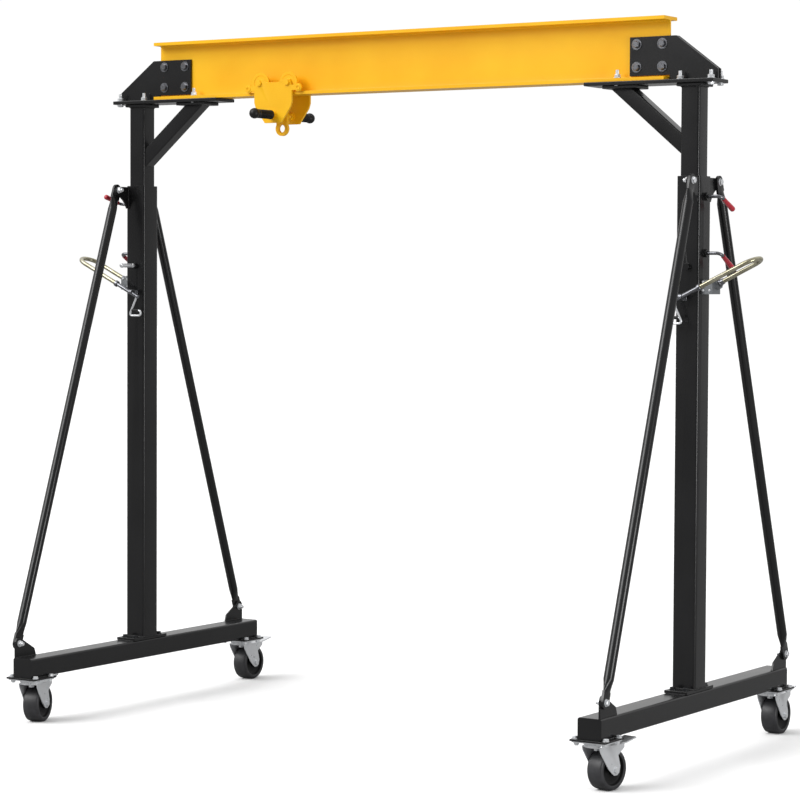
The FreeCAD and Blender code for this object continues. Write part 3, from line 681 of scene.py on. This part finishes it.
print("brace bolts at heights", [round(z, 4) for z in (post_top - BRACE_HEAD_DROP, base_top + BRACE_FOOT_UP)])

# %% [markdown]
# ## Weld beads by rule
# Where plate meets tube a welder leaves a row of overlapping ripples. The path of a seam is a
# chain of edges; the tree walks it at the pitch of the ripples and sets a flattened ball on each
# step, a little larger or smaller every time. It is painted over with the rest.

# %% The weld tree
def weld_tree():
    sizes = {"Bead radius": 0.0035, "Pitch": 0.0032, "Seed": 5, "Finish": None}
    tree, given, result = new_tree("weld_bead", sizes)
    size = given.outputs
    walk = add_node(tree, "GeometryNodeMeshToCurve", inputs={"Mesh": size["Geometry"]})
    steps = add_node(tree, "GeometryNodeResampleCurve", {"mode": "LENGTH"},
                     {"Curve": walk.outputs[0], "Length": size["Pitch"]})
    ball = add_node(tree, "GeometryNodeMeshUVSphere",
                    inputs={"Segments": 8, "Rings": 5, "Radius": size["Bead radius"]})
    along = add_node(tree, "GeometryNodeInputTangent")
    aim = add_node(tree, "FunctionNodeAlignRotationToVector", {"axis": "X"}, {"Vector": along.outputs[0]})
    chance = add_node(tree, "FunctionNodeRandomValue", {"data_type": "FLOAT_VECTOR"},
                      {0: (0.72, 0.9, 0.9), 1: (0.82, 1.12, 1.12), "Seed": size["Seed"]})
    spread = add_node(tree, "GeometryNodeInstanceOnPoints",
                      inputs={"Points": steps.outputs[0], "Instance": ball.outputs["Mesh"],
                              "Rotation": aim.outputs[0], "Scale": chance.outputs[0]})
    return painted(tree, spread, size["Finish"], result)


weld_pattern = weld_tree()


def welds(name, seams, radius, body):
    """Each seam is a list of points; a seam that ends where it began is a closed ring."""
    seats = []
    edges = []
    for seam in seams:
        first = len(seats)
        seats += [(tuple(spot), (0, 0, 1)) for spot in seam]
        edges += [(i, i + 1) for i in range(first, len(seats) - 1)]
    values = {"Bead radius": radius * MM, "Pitch": radius * 0.95 * MM, "Finish": leg_coat, "Seed": len(name)}
    return grown(name, seats, weld_pattern, values, body, edges=edges, sharp=80)


def ring(x, y, z, half_x, half_y, corner):
    """A rounded rectangle round a tube, level at z."""
    spots = []
    for quarter, (sx, sy) in enumerate(((1, 1), (-1, 1), (-1, -1), (1, -1))):
        for step in range(4):
            angle = math.pi / 2 * (quarter + step / 3)
            spots.append((x + sx * (half_x - corner) + corner * math.cos(angle),
                          y + sy * (half_y - corner) + corner * math.sin(angle), z))
    return spots + spots[:1]


for side, sign in SIDES.items():
    x = sign * post_x
    seams = [ring(x, mid_y, foot_top, post_half + 0.0005, post_half + 0.0005, 0.008)]
    foot_low, foot_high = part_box(f"{side}_post_foot")
    for y in (foot_low.y, foot_high.y):
        seams.append([(x - 0.032, y, base_top), (x + 0.032, y, base_top)])
    for end, out in ENDS.items():
        face = sign * ear_low.x
        head_y = mid_y + out * post_half
        seams.append([(face, head_y, post_top - 0.078), (face, head_y, post_top - 0.006)])
        far = (base_high.y if out > 0 else base_low.y) - out * 0.004
        seams.append([(face, far, base_top), (face, far - out * 0.100, base_top)])
        for edge in (-1, 1):
            wall = x + edge * post_half
            seams.append([(wall, pad_y[end] - 0.056 if out > 0 else base_low.y + 0.004, pad_high.z),
                          (wall, base_high.y - 0.004 if out > 0 else pad_y[end] + 0.056, pad_high.z)])
    welds(f"{side}_leg_welds", seams, 2.8, f"{side}_leg")
    inner_half = (inner_high.x - inner_low.x) / 2
    seams = [ring(x, mid_y, inner_high.z, inner_half + 0.0005, inner_half + 0.0005, 0.008)]
    for y in (gusset_low.y, gusset_high.y):
        seam_ends = (beam_high.x + 0.008, gusset_high.x - 0.003)
        seams.append([(sign * x_end, y, beam_bottom) for x_end in seam_ends])
    welds(f"{side}_head_welds", seams, 2.8, "upper_frame")
print("weld beads laid on", len(SIDES), "legs")

# %% [markdown]
# ## Caster wheels
# Each wheel is a grey tyre moulded onto a black core. The tyre's shoulders are soft, because a
# sharp edge would chip; the core is dished so that only its hub reaches the fork. The two front
# casters came to rest a little swivelled, so their axles are turned by the same angles.

# %% Wheels
TYRE = ((48.2, -26.9), (49.6, -28.3), (54.5, -28.5), (58.6, -27.4), (61.3, -24.7), (62.5, -20.0),
        (62.5, 20.0), (61.3, 24.7), (58.6, 27.4), (54.5, 28.5), (49.6, 28.3), (48.2, 26.9), (48.2, -26.9))
CORE = ((6.1, -31.0), (14.6, -31.0), (16.0, -29.7), (17.2, -20.0), (21.0, -17.7), (39.5, -17.7),
        (44.0, -19.5), (46.6, -26.1), (48.2, -26.7), (48.2, 26.7), (46.6, 26.1), (44.0, 19.5), (39.5, 17.7),
        (21.0, 17.7), (17.2, 20.0), (16.0, 29.7), (14.6, 31.0), (6.1, 31.0), (6.1, -31.0))
SWIVELLED = {"left_front": 15, "right_front": -10, "left_rear": 0, "right_rear": 0}
for side in SIDES:
    for end in ENDS:
        node = f"{side}_{end}_wheel"
        low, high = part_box(node)
        middle = (low + high) / 2
        turn = math.radians(SWIVELLED[f"{side}_{end}"])
        axle = (math.cos(turn), math.sin(turn), 0)
        tread = turned_piece(node + "_tyre", TYRE, middle, axle, 72, tyre, node)
        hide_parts(node)
        turned_piece(node + "_core", CORE, middle, axle, 56, wheel_core, node)
print("tyre radius", TYRE[6][0], "mm")

# %% [markdown]
# ### Balls in the swivel race
# The fork turns on a ring of steel balls squeezed between two pressed cups, and they show as
# bright beads under the top plate. A ring of points with a ball on each is a rule, so a tree
# makes it.

# %% Ball races
def ball_tree():
    sizes = {"Race radius": 0.036, "Ball radius": 0.0035, "Balls": 20, "Finish": None}
    tree, given, result = new_tree("ball_race", sizes)
    size = given.outputs
    circle = add_node(tree, "GeometryNodeMeshCircle",
                      inputs={"Vertices": size["Balls"], "Radius": size["Race radius"]})
    ball = add_node(tree, "GeometryNodeMeshUVSphere",
                    inputs={"Segments": 10, "Rings": 6, "Radius": size["Ball radius"]})
    each = add_node(tree, "GeometryNodeInstanceOnPoints",
                    inputs={"Points": circle.outputs[0], "Instance": ball.outputs["Mesh"]})
    seat = add_node(tree, "GeometryNodeInstanceOnPoints",
                    inputs={"Points": size["Geometry"], "Instance": each.outputs[0]})
    return painted(tree, seat, size["Finish"], result)


race_pattern = ball_tree()
RACE_DROP = 10.0 * MM
race_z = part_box("right_caster_tops")[1].z - RACE_DROP
for side, sign in SIDES.items():
    for end in ENDS:
        spot = (sign * post_x, pad_y[end], race_z)
        values = {"Race radius": 36.5 * MM, "Ball radius": 3.4 * MM, "Balls": 20, "Finish": bright_zinc}
        grown(f"{side}_{end}_race_balls", [(spot, (0, 0, 1))], race_pattern, values,
              f"{side}_{end}_fork", sharp=80)
print("races at height", round(race_z, 4))

# %% [markdown]
# ## Hand drives
# On each leg a gear box is bolted to the post, and a bent tube leads its shaft out, round and back
# past the front of the post, where a short crank turns it. The tube is drawn in the sloping plane
# that it was bent in; points on that plane come from a distance along the slope and a Y.

# %% The sloping plane
SLOPE = math.radians(26.0)
DRIVE_DROP = 374.3 * MM
NEAR_Y = -72.0 * MM
FAR_Y = 14.0 * MM
DRIVE_OUT = 246.9 * MM
TUBE_R = 7.5 * MM
bend_r = (FAR_Y - NEAR_Y) / 2
turn_at = DRIVE_OUT / math.cos(SLOPE) - bend_r - TUBE_R
gear_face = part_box("right_gear_block")[1].x


def on_slope(sign, along, y):
    return Vector((sign * (post_x + along * math.cos(SLOPE)), mid_y + y,
                   post_top - DRIVE_DROP + along * math.sin(SLOPE)))


def up_slope(sign):
    return Vector((sign * math.cos(SLOPE), 0, math.sin(SLOPE)))


print("bend radius", round(bend_r, 4), "turns", round(turn_at, 4), "out along the slope")


# %% Tube, collar and sleeve
SLEEVE = ((0, 0), (6.3, 0), (7.0, 0.7), (7.0, 93.8), (6.3, 94.5), (0, 94.5))
COLLAR = ((7.0, -5), (10.2, -5), (11.0, -4.2), (11.0, 4.2), (10.2, 5), (7.0, 5), (7.0, -5))
FERRULE = ((7.5, 0), (12.5, 0), (12.5, 3), (10.0, 5), (9.4, 14), (7.5, 15), (7.5, 0))
for side, sign in SIDES.items():
    neck = (gear_face - post_x) / math.cos(SLOPE) - 0.012
    path = rounded([on_slope(sign, neck, FAR_Y), on_slope(sign, turn_at + bend_r, FAR_Y),
                    on_slope(sign, turn_at + bend_r, NEAR_Y), on_slope(sign, 0.0645, NEAR_Y)],
                   (bend_r / MM - 0.01, bend_r / MM - 0.01), 16)
    loop = place_piece(f"{side}_drive_loop", bent_rod(f"{side}_drive_loop", path, 7.48, 24), yellow_zinc,
                       f"{side}_leg")
    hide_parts(f"{side}_drive_tube")
    slope_way = up_slope(sign)
    for name, profile, start, way in (("sleeve", SLEEVE, on_slope(sign, 0.0645, NEAR_Y), -slope_way),
                                      ("collar", COLLAR, on_slope(sign, 0.0645, NEAR_Y), slope_way),
                                      ("ferrule", FERRULE, on_slope(sign, neck + 0.006, FAR_Y), slope_way)):
        turned_piece(f"{side}_drive_{name}", profile, start, way, 32, dark_steel,
                     f"{side}_leg")
print("drive loops laid")

# %% [markdown]
# ### Clip and gear box screws
# A bent strip on the post's face hooks over the sleeve. Four small screws close the gear box.

# %% Bent strips
def strip(name, path, width, thick, across):
    """A flat strip bent along path, width wide along the direction across."""
    across = Vector(across).normalized() * (width / 2 * MM)
    bm = bmesh.new()
    rings = []
    for i, spot in enumerate(path):
        ahead = path[min(i + 1, len(path) - 1)] - path[max(i - 1, 0)]
        face = ahead.normalized().cross(across.normalized()) * (thick / 2 * MM)
        corners = ((1, 1), (-1, 1), (-1, -1), (1, -1))
        rings.append([bm.verts.new(spot + a * across + b * face) for a, b in corners])
    for near, far in zip(rings, rings[1:]):
        for i in range(4):
            j = (i + 1) % 4
            bm.faces.new((near[i], near[j], far[j], far[i]))
    bm.faces.new(rings[0][::-1])
    bm.faces.new(rings[-1])
    bmesh.ops.recalc_face_normals(bm, faces=bm.faces)
    for face in bm.faces:
        face.smooth = True
    mesh = bpy.data.meshes.new(name)
    bm.to_mesh(mesh)
    bm.free()
    mesh.set_sharp_from_angle(angle=math.radians(35))
    return mesh


def eased(obj, edge):
    rounding = obj.modifiers.new("edge", "BEVEL")
    rounding.width = edge * MM
    rounding.segments = 2
    rounding.limit_method = "ANGLE"
    rounding.angle_limit = math.radians(40)
    rounding.harden_normals = True


for side, sign in SIDES.items():
    hook = on_slope(sign, -0.008, NEAR_Y)
    face_y = mid_y - post_half - 0.0015
    hook_path = rounded([(hook.x, face_y, hook.z - 0.010), (hook.x, face_y, hook.z + 0.0095),
                         (hook.x, hook.y - 0.009, hook.z + 0.0095), (hook.x, hook.y - 0.009, hook.z - 0.004)],
                        (3, 7), 6)
    bent_strip = strip(f"{side}_drive_clip", hook_path, 14, 2.6, (1, 0, 0))
    clip = place_piece(f"{side}_drive_clip", bent_strip, dark_steel, f"{side}_leg")
    eased(clip, 0.4)
    low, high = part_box(f"{side}_gear_block")
    middle = (low + high) / 2
    screws = [((middle.x - sign * 0.008 + dx, low.y, middle.z + dz), (0, -1, 0))
              for dx in (-0.012, 0.010) for dz in (-0.013, 0.013)]
    fasteners(f"{side}_gear_screws", screws, (3.4, 2.6, 4.4, 0.8, 2, 0.2), f"{side}_leg")
print("clips and gear box screws fitted")

# %% [markdown]
# ### Cranks
# The crank is 7 mm wire bent at three corners, pinned into the sleeve, with a rubber barrel on its loop.

# %% Cranks
HUB = ((0, 0), (6.4, 0), (7.0, 0.6), (7.0, 11.4), (6.4, 12), (0, 12))
BARREL = ((3.4, 0), (4.6, 0), (5.4, 0.9), (5.5, 3.0), (5.1, 4.2), (5.1, 23.3), (5.5, 24.5), (5.4, 26.6),
          (4.6, 27.5), (3.4, 27.5), (3.4, 0))
for side, sign in SIDES.items():
    body = f"{side}_crank"
    hub_start = -0.0303
    top = on_slope(sign, hub_start - 0.006, NEAR_Y)
    down = Vector((sign * math.sin(SLOPE), 0, -math.cos(SLOPE))) * 0.076
    inward = Vector((-sign * 0.050, 0, 0))
    rise = Vector((0, 0, 0.018))
    far = top + down + inward + rise
    outward = Vector((sign, 0, 0))
    path = rounded([top, top + down, top + down + inward, far, far + outward * 0.040], (7, 8, 8), 8)
    bent_wire = bent_rod(body + "_wire", path, 3.5, 16)
    arm = place_piece(body + "_wire", bent_wire, bright_zinc, body)
    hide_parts(body)
    turned_piece(body + "_hub", HUB, on_slope(sign, hub_start, NEAR_Y), -up_slope(sign), 28,
                 dark_steel, body)
    turned_piece(body + "_grip", BARREL, far + outward * 0.010, outward, 28, grip_rubber, body)
print("two cranks bent")

# %% [markdown]
# ## Clamp screws
# Two screws on each leg press on the inner post to hold a height. Each is bar bent into a handle
# and dipped in red vinyl, which leaves a thicker lip where the dip ended and a rounded blob at
# the tip.

# %% Clamp screws
SCREW_DROP = {"upper": 64.0 * MM, "lower": 240.0 * MM}
SCREW_TURN = {"left_upper": 164.0, "left_lower": -29.0, "right_upper": -25.0, "right_lower": -29.0}
SLEEVE_DIP = ((5.5, 0), (6.6, 0.2), (7.1, 1.4), (7.1, 3.2), (6.8, 5.0), (7.2, 22.0), (8.0, 44.0), (8.8, 64.0),
              (8.9, 69.0), (8.3, 72.8), (6.4, 75.2), (3.4, 76.3), (0, 76.5))
for side, sign in SIDES.items():
    for level_name, drop in SCREW_DROP.items():
        body = f"{side}_{level_name}_clamp_screw"
        z = post_top - drop
        angle = math.radians(SCREW_TURN[f"{side}_{level_name}"])
        way = Vector((0, math.cos(angle), math.sin(angle)))
        tip = Vector((sign * (post_x + 0.0329), mid_y, z))
        bend = Vector((sign * (post_x + 0.095), mid_y, z))
        end = bend + way * 0.092
        bar = bent_rod(body + "_rod", rounded([tip, bend, end - way * 0.002], (16,), 10), 5.4, 24)
        rod = place_piece(body + "_rod", bar, dark_steel, body)
        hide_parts(body)
        turned_piece(body + "_sleeve", SLEEVE_DIP, end - way * 0.0745, way, 32, red_vinyl,
                     body)
print("clamp screws at", [round(post_top - drop, 3) for drop in SCREW_DROP.values()])

# %% [markdown]
# ### Locating pin
# The left leg keeps a loose pin in its boss, turned from bar with a domed tip.

# %% Pin
PIN = ((0, 0), (7.0, 0), (7.0, 7), (5.4, 8), (5.4, 10.5), (7.0, 11.5), (7.0, 55), (5.8, 56), (5.8, 59),
       (7.6, 60), (8.2, 63), (7.8, 66.5), (6.0, 69), (3.2, 70), (0, 70.2))
pin_start = (-post_x, mid_y - post_half - 12 * MM, post_top - 282 * MM)
turned_piece("left_locating_pin", PIN, pin_start, (0, -1, 0), 32, bright_zinc, "left_leg")
print("pin reaches", round(PIN[-1][1]), "mm out of its boss")

# %% [markdown]
# ## Trolley
# The side plates carry two rollers each on the beam's lower flange. A roller's tread runs on the
# flange and its larger rim keeps it from climbing; the outer face is turned with a shallow dish.

# %% Rollers
ROLLER = ((6.1, 0), (11.0, 0), (12.0, 1.0), (12.6, 2.6), (23.0, 2.8), (26.5, 1.2), (29.2, 0.2), (30.0, 1.2),
          (30.0, 15.4), (31.0, 16.5), (34.8, 16.7), (36.0, 17.9), (36.0, 18.9), (34.9, 20.0), (27.0, 20.0),
          (25.5, 18.8), (14.0, 18.8), (12.8, 20.0), (6.1, 20.0), (6.1, 0))
for end, out in ENDS.items():
    for way in ("left", "right"):
        node = f"trolley_{end}_{way}_wheel"
        low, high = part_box(node)
        start = Vector(((low.x + high.x) / 2, high.y if out < 0 else low.y, (low.z + high.z) / 2))
        roller = turned_piece(node + "_turned", ROLLER, start, (0, out, 0), 64, beam_coat, node)
        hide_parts(node)
print("roller rim radius", ROLLER[11][0], "mm")

# %% [markdown]
# ### Lug bushes, spindle and grips
# Each side plate has a round lug at either end with a bush pressed into it. A threaded spindle sets
# the gap between the plates, and a rubber grip with a ball end is pushed on each end of it.

# %% Bushes and spindle
side_low, side_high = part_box("trolley_front_plate")
rear_low, rear_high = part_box("trolley_rear_plate")
spindle_low, spindle_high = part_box("trolley_spindle")
spindle_z = (spindle_low.z + spindle_high.z) / 2
trolley_x = (spindle_low.x + spindle_high.x) / 2
BUSH = ((5.0, -6.0), (9.0, -6.0), (10.0, -5.0), (10.0, 5.0), (9.0, 6.0), (5.0, 6.0), (5.0, -6.0))
for end, low, high in (("front", side_low, side_high), ("rear", rear_low, rear_high)):
    plate_y = low.y + 4 * MM + (6 * MM if end == "front" else 0)
    for way in (-1, 1):
        start = (trolley_x + way * 104 * MM, plate_y, beam_bottom + 23 * MM)
        name = f"trolley_{end}_{'right' if way > 0 else 'left'}_bush"
        turned_piece(name, BUSH, start, (0, 1, 0), 28, beam_coat, "trolley")

SPINDLE = [(0, -174), (7.0, -174), (8.0, -173)]
for i in range(60):
    SPINDLE += [(8.0, -46 + 92 * i / 60), (7.3, -46 + 92 * (i + 0.5) / 60)]
SPINDLE += [(8.0, 46), (8.0, 173), (7.0, 174), (0, 174)]
rod = turned_piece("trolley_spindle_rod", SPINDLE, (trolley_x, mid_y, spindle_z), (0, 1, 0), 28,
                   beam_coat, "trolley")
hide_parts("trolley_spindle")
nuts = []
for out in (-1, 1):
    nuts.append(((trolley_x, mid_y + out * 0.058, spindle_z), (0, out, 0)))
    nuts.append(((trolley_x, mid_y + out * 0.050, spindle_z), (0, -out, 0)))
fasteners("trolley_spindle_nuts", nuts, (13.5, 8, 16, 1.8, 8, 0.2), "trolley", beam_coat)
print("spindle at height", round(spindle_z, 4))

# %% [markdown]
# ### Grips
# The rubber is moulded with fine rings for the palm, so a tree sets a row of thin hoops along
# each grip's waist.

# %% Grips
GRIP = ((8.1, 0), (13.0, 0), (15.4, 1.2), (16.0, 3.2), (16.0, 7.0), (14.6, 8.6), (14.6, 72.0), (15.4, 73.5),
        (15.4, 77.0), (13.4, 79.5), (12.4, 82.5), (14.0, 84.8), (16.2, 88.2), (17.6, 92.2), (18.0, 96.0),
        (17.5, 100.2), (15.9, 104.5), (13.0, 108.5), (9.2, 111.5), (4.8, 113.3), (0, 114.0))


def rib_tree():
    sizes = {"Rib radius": 0.0146, "Rib size": 0.0008, "Length": 0.06, "Ribs": 16, "Finish": None}
    tree, given, result = new_tree("grip_ribs", sizes)
    size = given.outputs
    hoop = add_node(tree, "GeometryNodeCurvePrimitiveCircle", {"mode": "RADIUS"},
                    {"Resolution": 28, "Radius": size["Rib radius"]})
    bead = add_node(tree, "GeometryNodeCurvePrimitiveCircle", {"mode": "RADIUS"},
                    {"Resolution": 6, "Radius": size["Rib size"]})
    rib = add_node(tree, "GeometryNodeCurveToMesh",
                   inputs={"Curve": hoop.outputs[0], "Profile Curve": bead.outputs[0]})
    reach = add_node(tree, "ShaderNodeCombineXYZ", inputs={"Z": size["Length"]})
    row = add_node(tree, "GeometryNodeMeshLine", {"mode": "END_POINTS", "count_mode": "TOTAL"},
                   {"Count": size["Ribs"], "Offset": reach.outputs[0]})
    ribs = add_node(tree, "GeometryNodeInstanceOnPoints",
                    inputs={"Points": row.outputs[0], "Instance": rib.outputs[0]})
    seat = add_node(tree, "GeometryNodeInstanceOnPoints",
                    inputs={"Points": size["Geometry"], "Instance": ribs.outputs[0], "Rotation": aimed(tree)})
    return painted(tree, seat, size["Finish"], result)


rib_pattern = rib_tree()
seats = []
for end, out in ENDS.items():
    start = Vector((trolley_x, mid_y + out * 0.068, spindle_z))
    grip = turned_piece(f"trolley_{end}_grip", GRIP, start, (0, out, 0), 40, grip_rubber,
                        "trolley")
    if end == "front":
        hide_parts("trolley_grips")
    seats.append((start + Vector((0, out * 0.011, 0)), (0, out, 0)))
values = {"Rib radius": 14.6 * MM, "Rib size": 0.8 * MM, "Length": 58 * MM, "Ribs": 17, "Finish": grip_rubber}
grown("trolley_grip_ribs", seats, rib_pattern, values, "trolley", sharp=80)
print("grips are", GRIP[-1][1], "mm long")

# %% [markdown]
# ## Studio
# The floor is a large white sheet that merges with a white background; the light it throws back
# is dimmer than it looks, which keeps the undersides dark. The room is brighter overhead and
# toward the back, a broad sun and a soft key light stand behind the viewer on the left, and a fill
# light lifts what faces right. The black coating is drawn mostly by what it reflects.

# %% Floor and light
floor_mesh = bpy.data.meshes.new("studio_floor")
floor_mesh.from_pydata([(-60, -60, 0), (60, -60, 0), (60, 60, 0), (-60, 60, 0)], [], [(0, 1, 2, 3)])
floor = bpy.data.objects.new("studio_floor", floor_mesh)
bpy.context.scene.collection.objects.link(floor)
paper, tree, shader, place = start_material("white_paper")
shader.inputs["Roughness"].default_value = 0.95
shader.inputs["Specular IOR Level"].default_value = 0.0
direct = add_node(tree, "ShaderNodeLightPath").outputs["Is Camera Ray"]
sheet = add_node(tree, "ShaderNodeMix", {"data_type": "RGBA"}, {"Factor": direct})
sheet.inputs["A"].default_value = linear("#989898")
sheet.inputs["B"].default_value = linear("#fafafa")
tree.links.new(sheet.outputs["Result"], shader.inputs["Base Color"])
floor_mesh.materials.append(paper)

world = bpy.data.worlds.new("studio_sky")
bpy.context.scene.world = world
world.use_nodes = True
tree = world.node_tree
tree.nodes.clear()
way = add_node(tree, "ShaderNodeTexCoord").outputs["Generated"]
across = add_node(tree, "ShaderNodeVectorMath", {"operation": "DOT_PRODUCT"}, {0: way, 1: (-0.16, 0.24, 0.0)})
above = add_node(tree, "ShaderNodeVectorMath", {"operation": "DOT_PRODUCT"}, {0: way, 1: (0.0, 0.0, 0.62)})
level_light = maths(tree, "ADD", across.outputs["Value"], 0.42)
all_round = maths(tree, "ADD", level_light, above.outputs["Value"])
room = add_node(tree, "ShaderNodeBackground", inputs={"Strength": all_round})
backdrop = add_node(tree, "ShaderNodeBackground", inputs={"Color": (1, 1, 1, 1), "Strength": 1.02})
seen = add_node(tree, "ShaderNodeLightPath").outputs["Is Camera Ray"]
mixed = add_node(tree, "ShaderNodeMixShader", inputs={0: seen, 1: room.outputs[0], 2: backdrop.outputs[0]})
add_node(tree, "ShaderNodeOutputWorld", inputs={"Surface": mixed.outputs[0]})
room.inputs["Color"].default_value = (1, 1, 1, 1)


def soft_light(name, spot, target, size, power):
    data = bpy.data.lights.new(name, "AREA")
    data.shape = "RECTANGLE"
    data.size, data.size_y = size
    data.energy = power
    lamp = bpy.data.objects.new(name, data)
    bpy.context.scene.collection.objects.link(lamp)
    lamp.location = spot
    lamp.rotation_euler = (Vector(target) - Vector(spot)).to_track_quat("-Z", "Y").to_euler()
    return lamp


soft_light("key", (-3.2, -6.5, 5.2), (0, 0, 1.2), (3.0, 3.0), 160)
soft_light("fill", (6.5, -2.0, 1.3), (1.1, -0.4, 0.4), (2.0, 2.0), 140)
sun = bpy.data.lights.new("sun", "SUN")
sun.energy = 1.85
sun.angle = math.radians(50)
lamp = bpy.data.objects.new("sun", sun)
bpy.context.scene.collection.objects.link(lamp)
lamp.rotation_euler = Vector((0.5, 0.6, -0.72)).to_track_quat("-Z", "Y").to_euler()
scene = bpy.context.scene
scene.view_settings.view_transform = "Standard"
scene.view_settings.look = "None"

# %% [markdown]
# ## Camera
# A long lens from about nine metres, at chest height, a little below the middle of the crane and
# turned a third of a right angle from square-on. Its axes are built as vectors, so that the
# slight tilt and roll are plain numbers.

# %% Camera
CAMERA_SPOT = Vector((4.8554, -7.6077, 1.512))
YAW, PITCH, ROLL = 0.5707, -0.0449, 0.005
ahead = Vector((-math.sin(YAW) * math.cos(PITCH), math.cos(YAW) * math.cos(PITCH), math.sin(PITCH)))
level = Vector((math.cos(YAW), math.sin(YAW), 0))
overhead = level.cross(ahead)
right = math.cos(ROLL) * level + math.sin(ROLL) * overhead
overhead = math.cos(ROLL) * overhead - math.sin(ROLL) * level
lens = bpy.data.cameras.new("camera")
lens.sensor_width = 36.0
lens.lens = 120.84
lens.clip_end = 200.0
camera = bpy.data.objects.new("camera", lens)
scene.collection.objects.link(camera)
axes = Matrix((right, overhead, -ahead)).transposed().to_4x4()
camera.matrix_world = Matrix.Translation(CAMERA_SPOT) @ axes
scene.camera = camera
print("camera", [round(v, 3) for v in CAMERA_SPOT], "lens", lens.lens)
